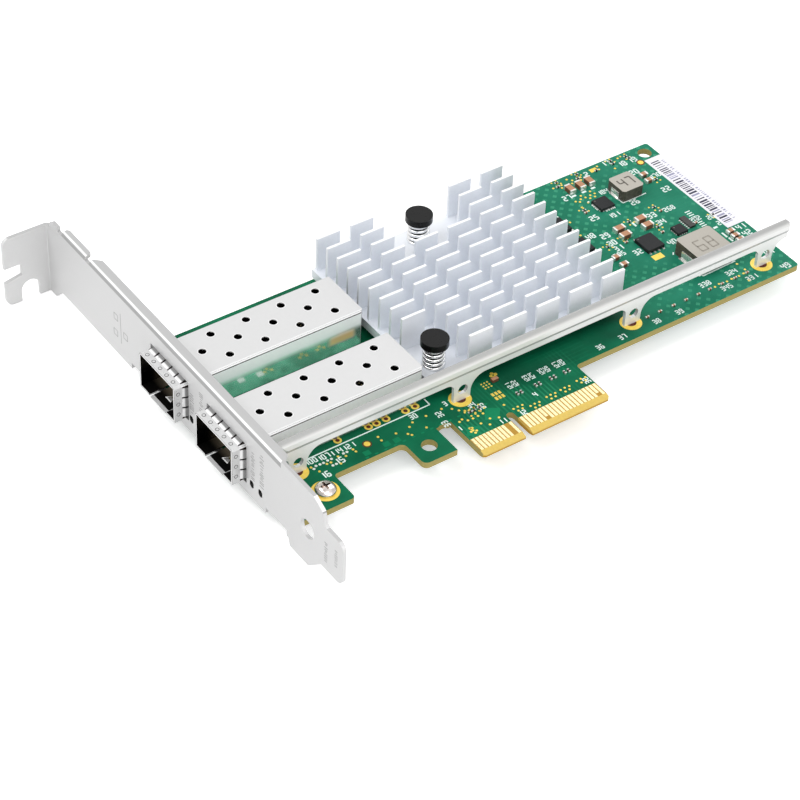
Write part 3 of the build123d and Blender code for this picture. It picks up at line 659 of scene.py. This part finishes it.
def number(bm, x, y, text, height=1.6, angle=0.0, z0=0.0, z1=0.03, weight=0.2):
    """Digits drawn with plain strokes, centred on x and y; weight is the stroke's share of the height."""
    wide = height * DIGIT_WIDTH
    pitch = height * DIGIT_PITCH
    line = height * weight
    turn = Matrix.Rotation(math.radians(angle), 2)
    start = -((len(text) - 1) * pitch + wide) / 2
    for i, digit in enumerate(text):
        for key in SEGMENTS[digit]:
            p, q = [Vector((x, y)) + turn @ Vector((start + i * pitch + u * wide, (v - 1) * height / 2))
                    for u, v in ENDS[key]]
            stroke(bm, p, q, line, z0, z1)


# Heights of the thin layers on the board's face
PRINT_TOP = 0.03
PATCH_TOP = 0.02
PLATE_TOP = 0.04
JOINT_TOP = 0.05
RING_TOP = 0.06

COMB_STEP = 0.78
outlines = [
    ((68.06, 57.9), (68.09, 52.74)), ((68.09, 52.74), (75.27, 52.85)), ((65.6, 21.6), (77.05, 21.77)),
    ((66.58, 22.74), (66.42, 21.11)), ((66.42, 21.11), (76.36, 21.33)), ((65.6, 30.9), (66.2, 31.6)),
    ((65.8, 27.4), (66.6, 27.3)), ((51.56, 55.4), (51.5, 57.06)), ((-45.8, 19.2), (-12.75, 19.2)),
    ((-12.75, 19.2), (-12.7, 21.3)),
]
thick_strokes = [((65.1, 45.6), (65.1, 44.0)), ((80.7, 31.1), (80.7, 29.2)), ((80.85, 28.8), (80.85, 27.3))]
dashes = [(59.84, 61.21), (62.85, 61.17), (65.67, 61.26), (80.74, 33.51)]
# Middle of each plain number and how many digits it has
marks = [
    (-44.42, 18.2, 3), (-41.34, 17.9, 3), (-38.24, 17.75, 3), (-35.05, 17.72, 3), (-39.18, 15.1, 2),
    (-44.06, 13.1, 2), (74.33, 67.4, 2), (77.68, 65.06, 2), (80.78, 65.02, 2), (78.12, 60.95, 2),
    (81.56, 57.11, 3), (80.38, 51.49, 2), (66.73, 58.72, 3), (63.33, 50.23, 3), (58.57, 51.88, 2),
    (70.68, 51.57, 2), (57.93, 61.49, 2), (67.69, 66.35, 1), (56.49, 45.06, 2), (56.23, 42.1, 2),
    (56.34, 39.8, 2), (59.27, 36.17, 2), (70.79, 45.28, 2), (71.11, 42.11, 2), (76.07, 45.14, 3),
    (55.01, 37.77, 3), (78.72, 38.65, 3), (82.9, 37.28, 3), (83.6, 34.4, 3), (68.53, 34.73, 2),
    (86.04, 30.6, 2), (85.83, 28.01, 2), (72.85, 18.6, 3), (75.68, 14.6, 3), (64.87, 18.6, 3),
    (68.38, 15.0, 3), (85.3, 19.6, 2), (53.47, 46.75, 2), (85.2, 13.6, 2),
]
turned_pairs = [(6.3, 14.5), (10.9, 14.5), (15.1, 14.5), (19.2, 14.5)]
# Plain numbers near the contacts: middle, text and angle
tongue_marks = [
    (-9.3, 17.6, "31", 0), (-12.8, 15.4, "32", 90), (-13.4, 12.2, "33", 90), (-5.3, 14.2, "34", 0),
    (-3.6, 12.6, "35", 90), (-11.9, 9.4, "1", 0), (-2.6, 6.3, "11", 0), (2.7, 6.1, "12", 0),
    (8.6, 9.4, "4", 0), (21.0, 6.9, "32", 90), (-18.0, 18.0, "30", 0), (30.5, 14.2, "36", 0),
    (37.0, 14.2, "37", 0), (47.0, 14.3, "38", 0), (53.5, 14.1, "39", 0),
]


def printed_marks():
    silk = bmesh.new()
    for p, q in outlines:
        stroke(silk, p, q, 0.32, 0, PRINT_TOP)
    for i in range(9):
        y = 41.8 - i * COMB_STEP
        stroke(silk, (78.2, y), (79.7, y), 0.3, 0, PRINT_TOP)
    for x, y in dashes:
        stroke(silk, (x - 0.6, y), (x + 0.6, y), 0.6, 0, PRINT_TOP)
    for p, q in thick_strokes:
        stroke(silk, p, q, 0.5, 0, PRINT_TOP)
    for i, (x, y, count) in enumerate(marks):
        text = str(11 + i)[-2:] if count == 2 else str(100 + 7 * i)[:count]
        number(silk, x, y, text, height=1.35 if count == 3 else 1.6)
    for i, (x, y) in enumerate(turned_pairs):
        for side in (-1, 1):
            number(silk, x + side * 0.75, y, str(121 + 2 * i + (side > 0)), height=1.05, angle=90)
    for x, y, text, angle in tongue_marks:
        number(silk, x, y, text, height=1.3, angle=angle)
    make("printed_marks", silk, "silk")


printed_marks()


# Gold dots, joints, rings and patches on the board

gold_dots = [
    (57.44, 66.23), (59.43, 67.3), (59.89, 66.18), (59.34, 65.26), (62.31, 67.3), (63.26, 66.31),
    (62.52, 65.36), (65.35, 67.3), (65.72, 66.27), (65.19, 65.32), (71.86, 67.53), (71.52, 66.31),
    (58.8, 59.22), (60.4, 59.32), (59.6, 58.58), (61.22, 60.34), (61.81, 59.26), (63.33, 59.33),
    (62.59, 58.4), (64.66, 59.32), (63.97, 58.32), (61.11, 57.3), (58.67, 56.63), (64.2, 60.55),
    (76.02, 20.22), (76.27, 17.66), (75, 16.73), (73.51, 16.59), (71.31, 16.69), (69.83, 16.55),
    (66.16, 16.52), (67.66, 16.86), (74.39, 14.08), (52.67, 53.57), (51.71, 48.32), (50.99, 47.21),
    (78.18, 67.4), (75.08, 64.54), (-28.07, 16.76), (-28.07, 15.45), (-24.2, 15.58), (-20.58, 15.69),
    (-22.13, 14.06), (-21.59, 13.33), (-19.21, 16.52), (-15.55, 16.63), (-17.59, 13.58), (-11.41, 16.65),
    (-45.35, 16.6), (-44.52, 14.64), (-41.91, 15.7), (-40.95, 15.62), (-38.67, 16.35), (-37.16, 15.56),
    (-34.77, 16.43), (-34.59, 15.57), (-39.35, 14.2), (-9.49, 15.42), (-8.5, 14.2), (-7.5, 13.37),
    (-6.08, 10.54), (-4.69, 10.6), (-4.37, 8.48), (-9.66, 11.51), (-8.75, 10.55), (-7.46, 10.48),
    (-10.58, 11.15), (-6.96, 8.25), (-5.51, 6.94), (-2.53, 7.69), (0.8, 10.34),
]
white_dots = [
    (-45.08, 15.9), (-44.2, 16.44), (-43.24, 16.37), (-42.36, 16.35), (-41.22, 16.5), (-40.26, 16.46),
    (-41.11, 14.63), (-40.23, 14.61), (-37.17, 16.49), (-36.28, 16.47),
]
# Where small clusters of dots sit above the contacts
dot_clusters = [(2.87, 7.66), (6.58, 6.43), (11.31, 6.87), (15.31, 7.03), (20.13, 7.48)]
cluster_dots = [(-1.1, 0.5), (-0.5, -0.5), (0.1, 0.6), (0.7, -0.4), (1.3, 0.5)]
# Where small gold pads lie between the cages
gap_pads = [(-36.15, 40.10), (-27.0, 40.2), (-22.3, 40.1), (-15.5, 40.0)]


def dots_and_pads():
    dots = bmesh.new()
    for x, y in gold_dots:
        disc(dots, x, y, 0.29, 0, PLATE_TOP, 12)
    for x, y in dot_clusters:
        for dx, dy in cluster_dots:
            disc(dots, x + dx, y + dy, 0.27, 0, PLATE_TOP, 12)
    # A loose swirl of dots left of the contacts
    for i in range(7):
        angle = i * 2.4
        disc(dots, -9.7 + 0.9 * math.cos(angle) * (i / 6), 7.4 + 0.9 * math.sin(angle), 0.3, 0, PLATE_TOP, 12)
    for i in range(3):
        for y in (12.9, 14.3):
            pad(dots, 0.7 + i * 0.9, y, 0.3, 0.5, PLATE_TOP)
    for i in range(3):
        for k in range(3):
            disc(dots, 0.6 + i * 0.8, 16.8 + k * 0.8, 0.22, 0, PLATE_TOP, 12)
    for dx, dy in ((-0.6, 0), (0.6, 0), (0, 0.6), (0, -0.6)):
        disc(dots, 4.68 + dx, 19.5 + dy, 0.42, 0, PLATE_TOP, 12)
    for x, y in gap_pads:
        for dx, dy in ((-0.9, 0.3), (0, -0.4), (0.8, 0.4)):
            pad(dots, x + dx, y + dy, 0.35, 0.25, JOINT_TOP)
    pad(dots, 70.2, 66.85, 1.0, 0.65, PLATE_TOP)
    pad(dots, 62.15, 32.3, 1.45, 0.9, PLATE_TOP)
    make("gold_dots", dots, "ring")


def bare_joints():
    joints = bmesh.new()
    for x, y in white_dots:
        disc(joints, x, y, 0.33, 0, JOINT_TOP, 12)
    for x, y in ((-42.81, 39.76), (-38.25, 40.33)):
        pad(joints, x, y, 0.8, 0.7, 0.08, 0.02)
    for i in range(6):
        disc(joints, 75.2, 36.8 + i * 0.66, 0.24, 0, JOINT_TOP, 12)
    for y in (57.4, 55.8, 55.2, 54.5, 53.95):
        pad(joints, 61.225, y, 0.225, 0.2, 0.2, 0.05)
    for x in (62.8, 63.5, 64.15, 64.7, 65.2):
        pad(joints, x, 52.325, 0.17, 0.225, 0.2, 0.05)
    make("bare_joints", joints, "bare")


rail_holes = [
    (-35.97, 20.54), (-27.99, 20.47), (-25.91, 20.45), (-23.37, 20.53), (-18.35, 20.35), (-15.78, 20.42),
]
leg_places = [-48.6, -6.1, 41.7, 80.8]
test_points = [(81.9, 63.1), (-31.3, 16.2)]


def rings_and_holes():
    plated = bmesh.new()
    cores = bmesh.new()
    for x, y in rail_holes:
        ring(plated, x, y, 0.5, 0.95, 0, RING_TOP)
        disc(cores, x, y, 0.5, 0, PRINT_TOP)
    # Solder rings at the rail's legs, on both faces of the board
    leg_y = middle(*mm_box("stiffener_rail"), 1) + 0.2
    board_under = mm_box("circuit_board")[0][2]
    for x in leg_places:
        ring(plated, x, leg_y, 1.3, 2.6, 0, RING_TOP, 40)
        ring(cores, x, leg_y, 0.2, 1.3, 0, PLATE_TOP, 40)
        ring(plated, x, leg_y, 1.5, 2.6, board_under - RING_TOP, board_under, 40)
    for x, y in test_points:
        ring(cores, x, y, 0.75, 1.05, 0, RING_TOP)
        disc(plated, x, y, 0.75, 0, JOINT_TOP)
    for low, high in sorted(solids("bracket_screws"), key=lambda pair: pair[0][1]):
        ring(plated, middle(low, high, 0), middle(low, high, 1), 2.2, 3.1, 0, RING_TOP, 48)
    make("plated_rings", plated, "ring")
    make("plated_holes", cores, "hole")


def open_patches():
    patches = bmesh.new()
    prism(patches, [(-3.26, 11.8), (-5.56, 8.68), (-2.83, 6.93), (-0.52, 10.03)], 0, PATCH_TOP)
    prism(patches, [(-9.97, 9.24), (-11.85, 6.68), (-9.5, 5.4), (-7.61, 7.73)], 0, PATCH_TOP)
    for x, y in ((-25.2, 13.79), (-27.8, 13.97), (-32.89, 13.91)):
        pad(patches, x, y, 0.8, 0.7, PATCH_TOP)
    for i in range(14):
        pad(patches, -33.6 + i * 2.4, 12.7, 0.4, 0.2, PATCH_TOP)
    make("open_patches", patches, "edge_green")


dots_and_pads()
bare_joints()
rings_and_holes()
open_patches()


# The tiniest parts, which stand only in this scene

tiny_places = [
    (59.2, 67.4), (65.4, 67.5), (75.7, 67.3), (80.1, 66.9), (80.5, 55.6), (58.2, 55.3), (64.5, 46.1),
    (73.1, 47.3), (69.1, 40.9), (59.3, 42.0), (83.3, 37.6), (54.3, 41.3), (-6.96, 12.26), (-5.85, 12.31),
    (-4.36, 12.5),
]


def tiny_parts():
    ends = bmesh.new()
    bodies = bmesh.new()
    pads = bmesh.new()
    for x, y in tiny_places:
        pad(ends, x - 0.4, y, 0.1, 0.22, 0.4, 0.04)
        pad(ends, x + 0.4, y, 0.1, 0.22, 0.4, 0.04)
        pad(bodies, x, y, 0.32, 0.2, 0.38, 0.02)
        for dx, dy in ((-0.9, 0.7), (1.0, -0.6), (-0.3, -0.95), (0.5, 0.95)):
            disc(pads, x + dx, y + dy, 0.24, 0, PLATE_TOP, 12)
    make("tiny_part_ends", ends, "tin", smooth=True)
    make("tiny_parts", bodies, "resistor", smooth=True)
    make("tiny_part_pads", pads, "ring")
    blocks = bmesh.new()
    pad(blocks, -15.8, 39.95, 1.4, 0.75, 1.3, 0.15)
    pad(blocks, 3.75, 17.8, 0.85, 0.5, 0.9, 0.1)
    make("tan_blocks", blocks, "ceramic", smooth=True)


tiny_parts()


# Small parts with rounded bodies and metal ends, one for each solid of their nodes

BODY_INSET = 0.02


def two_ended(name, material, end_share, bevel):
    bodies = bmesh.new()
    ends = bmesh.new()
    for low, high in solids(name):
        axis = 0 if high[0] - low[0] > high[1] - low[1] else 1
        end = (high[axis] - low[axis]) * end_share
        body_low, body_high = [v + BODY_INSET for v in low], [v - BODY_INSET for v in high]
        body_low[2] = low[2]
        body_low[axis] = low[axis] + end * 0.8
        body_high[axis] = high[axis] - end * 0.8
        brick(bodies, body_low, body_high, bevel * 0.5)
        for side in (0, 1):
            end_low, end_high = list(low), list(high)
            if side:
                end_low[axis] = high[axis] - end
            else:
                end_high[axis] = low[axis] + end
            brick(ends, end_low, end_high, bevel)
    make(name + "_bodies", bodies, material, (name,), smooth=True)
    make(name + "_ends", ends, "tin", (name,), smooth=True)


two_ended("small_capacitors", "ceramic", 0.24, 0.06)
two_ended("coupling_capacitors", "dark_ceramic", 0.28, 0.05)
two_ended("resistors", "resistor", 0.22, 0.05)


# Springs, one round wire each, and the dished heads of their pins

SPRING_RADIUS = 2.25
WIRE_RADIUS = 0.38
SPRING_LOW, SPRING_HIGH = 4.47, 10.3
SPRING_TURNS = 5.5
CLOSED_SHARE = 0.6
STEPS_PER_TURN = 32
WIRE_SIDES = 10


def spring(name, pin):
    pin_low, pin_high = mm_box(pin)
    x, y = middle(pin_low, pin_high, 0), middle(pin_low, pin_high, 1)
    bottom, top = SPRING_LOW + WIRE_RADIUS, SPRING_HIGH - WIRE_RADIUS
    count = int(SPRING_TURNS * STEPS_PER_TURN)
    bm = bmesh.new()
    rows = []
    for i in range(count + 1):
        turns = i / count * SPRING_TURNS
        angle = turns * math.tau
        rise = min(1.0, max(0.0, (turns - CLOSED_SHARE) / (SPRING_TURNS - 2 * CLOSED_SHARE)))
        out = Vector((math.cos(angle), math.sin(angle), 0))
        centre = Vector((x, y, bottom + (top - bottom) * rise)) + out * SPRING_RADIUS
        row = []
        for k in range(WIRE_SIDES):
            turn = k * math.tau / WIRE_SIDES
            aside = out * math.cos(turn) + Vector((0, 0, math.sin(turn)))
            row.append(bm.verts.new(centre + WIRE_RADIUS * aside))
        rows.append(row)
    loft(bm, rows)
    bm.faces.new(rows[0])
    bm.faces.new(list(reversed(rows[-1])))
    make(name + "_wire", bm, "bright", (name,), smooth=True)
    cap = bmesh.new()
    head = pin_high[2]
    lathe(cap, x, y, [(0, head - 0.5), (1.5, head - 0.5), (1.75, head - 0.35), (1.95, head - 0.02), (2.1, head),
                      (2.2, head - 0.05), (2.2, head - 0.7), (0, head - 0.7)])
    make(pin + "_dish", cap, "black", smooth=True)


spring("near_pin_spring", "near_push_pin")
spring("far_pin_spring", "far_push_pin")


# Bent terminals and plain stamped numbers on the coils

STAMP_RISE = 0.012


def coil_details(name, text, height, ink, weight):
    low, high = mm_box(name)
    x, y = middle(low, high, 0), middle(low, high, 1)
    half = (high[1] - low[1]) * 0.22
    terminals = bmesh.new()
    for side in (-1, 1):
        face = x + side * (high[0] - low[0]) / 2
        upright = (0.18, half, (high[2] - low[2]) * 0.62, 0.12)
        foot = (0.55, half * 1.2, 0.22, 0.06)
        for reach, half_y, top, bevel in (upright, foot):
            inner, outer = sorted((face - side * 0.3, face + side * reach))
            brick(terminals, (inner, y - half_y, 0), (outer, y + half_y, top), bevel)
    make(name + "_terminals", terminals, "tin", smooth=True)
    stamp = bmesh.new()
    number(stamp, x, y, text, height, 0, high[2] - 0.05, high[2] + STAMP_RISE, weight)
    make(name + "_stamp", stamp, ink)


coil_details("large_inductor", "68", 3.8, "faint_stamp", 0.1)
coil_details("small_inductor", "47", 2.8, "stamp", 0.14)


# Solder lands round the flat chips, and a dot at pin one

LAND_OUT, LAND_HALF, LAND_TOP, LAND_BEVEL = 0.22, 0.14, 0.28, 0.03
DOT_INSET = 0.6
DOT_SINK = 0.04


def pin_one(dots, low, high, radius):
    disc(dots, low[0] + DOT_INSET, high[1] - DOT_INSET, radius, high[2] - DOT_SINK, high[2] + STAMP_RISE, 16)


def chip_details():
    lands = bmesh.new()
    dots = bmesh.new()
    for name, count in (("regulator_chip", 6), ("small_regulator_chip", 4), ("power_chip", 0)):
        low, high = mm_box(name)
        for corner in (low, high):
            for i in range(count):
                share = (i + 1) / (count + 1)
                along = [low[axis] + share * (high[axis] - low[axis]) for axis in (0, 1)]
                pad(lands, corner[0], along[1], LAND_OUT, LAND_HALF, LAND_TOP, LAND_BEVEL)
                pad(lands, along[0], corner[1], LAND_HALF, LAND_OUT, LAND_TOP, LAND_BEVEL)
        pin_one(dots, low, high, 0.22)
    for low, high in solids("memory_chips"):
        pin_one(dots, low, high, 0.25)
    make("chip_lands", lands, "tin", smooth=True)
    make("pin_one_dots", dots, "stamp")


chip_details()


# Raised rims round the vents in the cage tops, painted near-white as a highlight

VENT_FIRST = 11.49
VENT_PITCH = 9.08
VENT_SIDE = 3.93
VENT_RADIUS = 0.93
RIM_RADIUS = 1.1


def vent_rims():
    bm = bmesh.new()
    for name in CAGES:
        low, high = mm_box(name)
        y = middle(low, high, 1)
        for i in range(4):
            spots = [(i, 0), (i + 0.5, -VENT_SIDE), (i + 0.5, VENT_SIDE)]
            for step, aside in spots:
                ring(bm, low[0] + VENT_FIRST + step * VENT_PITCH, y + aside, VENT_RADIUS, RIM_RADIUS,
                     high[2] - 0.1, high[2] + 0.025, 32)
    make("vent_rims", bm, "rim")


vent_rims()


# Screws with domed heads and a cross recess

SCREW_SIDES = 48
CROSS_ARM, CROSS_HALF = 1.15, 0.28
CROSS_RIM, CROSS_FLOOR, CROSS_TAPER = 1.66, 0.7, 0.7
head_profile = [(1.25, 0), (2.3, 0), (2.4, 0.25), (2.38, 0.6), (2.2, 1.0), (1.9, 1.3), (1.5, 1.53)]


def screw_piece():
    bm = bmesh.new()
    arm, half = CROSS_ARM, CROSS_HALF
    cross = [(arm, -half), (arm, half), (half, half), (half, arm), (-half, arm), (-half, half), (-arm, half),
             (-arm, -half), (-half, -half), (-half, -arm), (half, -arm), (half, -half)]
    corners = len(cross)
    for low, high in solids("bracket_screws"):
        x, y = middle(low, high, 0), middle(low, high, 1)
        rows = rings(bm, x, y, [(1.2, low[2] + 0.2)] + head_profile, SCREW_SIDES)
        tip = bm.verts.new((x, y, low[2]))
        for i in range(SCREW_SIDES):
            bm.faces.new((tip, rows[0][(i + 1) % SCREW_SIDES], rows[0][i]))
        loft(bm, rows)
        rim = [bm.verts.new((x + u, y + v, CROSS_RIM)) for u, v in cross]
        floor = [bm.verts.new((x + u * CROSS_TAPER, y + v * CROSS_TAPER, CROSS_FLOOR)) for u, v in cross]
        inner = [bm.edges.new((rim[i], rim[(i + 1) % corners])) for i in range(corners)]
        outer = [bm.edges.get((rows[-1][i], rows[-1][(i + 1) % SCREW_SIDES])) for i in range(SCREW_SIDES)]
        bmesh.ops.triangle_fill(bm, use_beauty=True, edges=inner + outer)
        loft(bm, [rim, floor])
        bm.faces.new(floor)
    make("screws", bm, "screw", ("bracket_screws",), smooth=True)


screw_piece()


# Collar dimples, on the top band and on the sides, each a dome in a ring painted dark as shade

COLLAR_SHEET = 0.15
DIMPLE_INSET = 0.95
DIMPLE_RADIUS = 0.36
DIMPLE_RIM = 0.47
TOP_DIMPLE_PITCH = 2.63
SIDE_DIMPLE_PITCH = 2.84
dome_profile = [(0, -0.05), (DIMPLE_RADIUS, -0.05), (DIMPLE_RADIUS, 0.03), (0.2, 0.07), (0, 0.08)]


def dimple_rim(bm):
    ring(bm, 0, 0, DIMPLE_RADIUS, DIMPLE_RIM, -0.05, 0.05, 20)


def dimple_dome(bm):
    lathe(bm, 0, 0, dome_profile, 20)


def dimples():
    rims = bmesh.new()
    domes = bmesh.new()
    for name in CAGES:
        low, high = mm_box(name)
        x, y = low[0] + DIMPLE_INSET, middle(low, high, 1)
        half = (high[1] - low[1]) / 2 + COLLAR_SHEET
        spots = [(Vector((x, y + (i - 2) * TOP_DIMPLE_PITCH, high[2] + COLLAR_SHEET)), Vector((0, 0, 1)))
                 for i in range(5)]
        for i in range(3):
            z = (CAGE_STANDOFF + high[2]) / 2 + (i - 1) * SIDE_DIMPLE_PITCH
            spots += [(Vector((x, y + side * half, z)), Vector((0, side, 0))) for side in (-1, 1)]
        for spot, outward in spots:
            turn = Matrix.Translation(spot) @ outward.to_track_quat("Z", "Y").to_matrix().to_4x4()
            for target, draw in ((rims, dimple_rim), (domes, dimple_dome)):
                part = bmesh.new()
                draw(part)
                bmesh.ops.transform(part, matrix=turn, verts=part.verts)
                join(target, part)
    make("dimple_rims", rims, "dimple_shade")
    make("dimple_domes", domes, "collar", smooth=True)


dimples()


# Etched marks on the bracket's face: rows of short strokes by the ports and on the foot, and three plain squares
# beside a line. They are drawn flat, with -Y of the card to the right and Z up, and then turned on to the face.

ETCH_LOW, ETCH_HIGH = -0.01, 0.012
ETCH_WIDTH = 0.2
# Y of each row and the heights that it spans
etched_rows = [(17.9, 2.4, 10.4), (14.5, 2.9, 11.8), (41.9, 2.9, 8.2), (38.1, 2.9, 11.3), (-9.3, 1.5, 7.1),
               (-12.9, 3.1, 7.8)]
squares = [(73.6, 7.3), (73.9, 2.7), (69.6, 4.3)]
SQUARE_HALF = 0.8


def etched_marks():
    etch = bmesh.new()
    for y, z, z_high in etched_rows:
        narrow = 1 if y > 0 else 0.7
        while z < z_high:
            wide = dice.choice((0.9, 1.3, 1.6)) * narrow
            brick(etch, (-y - wide / 2, z, ETCH_LOW), (-y + wide / 2, z + 0.28, ETCH_HIGH))
            z += dice.choice((0.5, 0.65, 0.8))
    for y, z in squares:
        corners = [(-y + u * SQUARE_HALF, z + v * SQUARE_HALF) for u, v in ((-1, -1), (1, -1), (1, 1), (-1, 1))]
        for p, q in zip(corners, corners[1:] + corners[:1]):
            stroke(etch, p, q, ETCH_WIDTH, ETCH_LOW, ETCH_HIGH)
    stroke(etch, (-71.6, 1.0), (-71.6, 9.6), ETCH_WIDTH, ETCH_LOW, ETCH_HIGH)
    to_face = Matrix(((0, 0, -1, BRACKET_FACE), (-1, 0, 0, 0), (0, 1, 0, 0), (0, 0, 0, 1)))
    make("etched_marks", etch, "etch", turn=to_face)


etched_marks()


# The label's bars and its row of marks

BAR_SINK, BAR_RISE = 0.02, 0.01


def bar_row(low, high, inset, left, right, widths, gaps, targets):
    """Bars of random widths and gaps up the label, from the share left to the share right of its width."""
    wide = high[0] - low[0]
    y = low[1] + inset
    while y < high[1] - inset:
        width = dice.choice(widths)
        target = dice.choice(targets) if len(targets) > 1 else targets[0]
        brick(target, (low[0] + wide * left, y, high[2] - BAR_SINK),
              (low[0] + wide * right, y + width, high[2] + BAR_RISE))
        y += width + dice.choice(gaps)


def label_print():
    bars = bmesh.new()
    faint = bmesh.new()
    low, high = mm_box("label")
    bar_row(low, high, 1.6, 0.13, 0.6, (0.2, 0.35, 0.35, 0.6), (0.3, 0.4, 0.6), (bars, bars, bars, faint))
    bar_row(low, high, 2.2, 0.7, 0.84, (0.2, 0.3, 0.45), (0.35, 0.45, 0.9), (faint,))
    make("label_marks", faint, "faint_ink")
    make("label_bars", bars, "ink")


label_print()


# The camera stands where the photograph was taken

CAMERA_PLACE = (-0.266589, -0.307352, 0.371485)
CAMERA_YAW, CAMERA_PITCH, CAMERA_ROLL = 36.963, -41.862, 2.826
FOCAL_PIXELS, IMAGE_PIXELS = 2561.63, 800
SENSOR = 36


def set_camera():
    yaw, pitch, roll = [math.radians(v) for v in (CAMERA_YAW, CAMERA_PITCH, CAMERA_ROLL)]
    forward = Vector((math.sin(yaw) * math.cos(pitch), math.cos(yaw) * math.cos(pitch), math.sin(pitch)))
    right = Vector((math.cos(yaw), -math.sin(yaw), 0))
    up = right.cross(forward)
    side = right * math.cos(roll) + up * math.sin(roll)
    top = up * math.cos(roll) - right * math.sin(roll)
    cam = bpy.data.cameras.new("camera")
    ob = bpy.data.objects.new("camera", cam)
    bpy.context.scene.collection.objects.link(ob)
    turn = Matrix((side, top, -forward)).transposed().to_4x4()
    ob.matrix_world = Matrix.Translation(CAMERA_PLACE) @ turn
    cam.sensor_width = SENSOR
    cam.lens = FOCAL_PIXELS / IMAGE_PIXELS * SENSOR
    cam.clip_start = 0.01
    cam.clip_end = 20
    bpy.context.scene.camera = ob


set_camera()


# Floor, backdrop and light

FLOOR_HALF = 3
FLOOR_GAP = 0.0001
FLOOR_TONE = (0.9, 0.9, 0.9, 1)
WHITE = (1, 1, 1, 1)
# Emission of the floor, only for rays from the camera and for reflections, so that the object stays at its level
FLOOR_GLOW, FLOOR_GLOW_MIRRORED = 0.42, 0.06
WORLD_LIGHT, WORLD_SEEN = 0.55, 1.0
LAMP_AIM = (0.02, 0.04, 0)
# Name, place in metres, size and power of each lamp
LAMPS = [
    ("key", (-0.5, 0.3, 0.85), 0.6, 4.2),
    ("fill", (-0.28, -0.75, 0.95), 0.8, 4.4),
    ("front", (0.15, -0.9, 0.28), 0.6, 1.7),
    ("rim", (0.7, 0.3, 0.7), 0.6, 1.6),
]


def white_to_camera(nt):
    """1 for rays that come straight from the camera, or by a mirror or glass."""
    path = nt.nodes.new("ShaderNodeLightPath")
    return any_of(nt, [path.outputs[name] for name in ("Is Camera Ray", "Is Transmission Ray", "Is Glossy Ray")])


def set_floor():
    bm = bmesh.new()
    bmesh.ops.create_grid(bm, x_segments=1, y_segments=1, size=FLOOR_HALF)
    me = bpy.data.meshes.new("floor")
    bm.to_mesh(me)
    bm.free()
    floor = bpy.data.objects.new("floor", me)
    floor.location.z = cad_box[0][2] - FLOOR_GAP
    bpy.context.scene.collection.objects.link(floor)
    m, nt, bsdf = new_material("floor")
    bsdf.inputs["Base Color"].default_value = FLOOR_TONE
    bsdf.inputs["Roughness"].default_value = 0.9
    bsdf.inputs["Emission Color"].default_value = WHITE
    path = nt.nodes.new("ShaderNodeLightPath")
    glow = calc(nt, "ADD", times(nt, path.outputs["Is Camera Ray"], FLOOR_GLOW),
                times(nt, path.outputs["Is Glossy Ray"], FLOOR_GLOW_MIRRORED))
    nt.links.new(glow, bsdf.inputs["Emission Strength"])
    me.materials.append(m)


def set_light():
    world = bpy.data.worlds.new("studio")
    bpy.context.scene.world = world
    world.use_nodes = True
    wt = world.node_tree
    back = wt.nodes["Background"]
    back.inputs["Color"].default_value = WHITE
    strength = wt.nodes.new("ShaderNodeMapRange")
    wt.links.new(white_to_camera(wt), strength.inputs["Value"])
    strength.inputs["To Min"].default_value = WORLD_LIGHT
    strength.inputs["To Max"].default_value = WORLD_SEEN
    wt.links.new(strength.outputs["Result"], back.inputs["Strength"])
    for name, spot, size, power in LAMPS:
        lamp = bpy.data.lights.new(name, "AREA")
        lamp.size = size
        lamp.energy = power
        ob = bpy.data.objects.new(name, lamp)
        ob.location = spot
        aim = Vector(LAMP_AIM) - Vector(spot)
        ob.rotation_euler = aim.to_track_quat("-Z", "Y").to_euler()
        bpy.context.scene.collection.objects.link(ob)


set_floor()
set_light()

bpy.context.scene.view_settings.view_transform = "Standard"
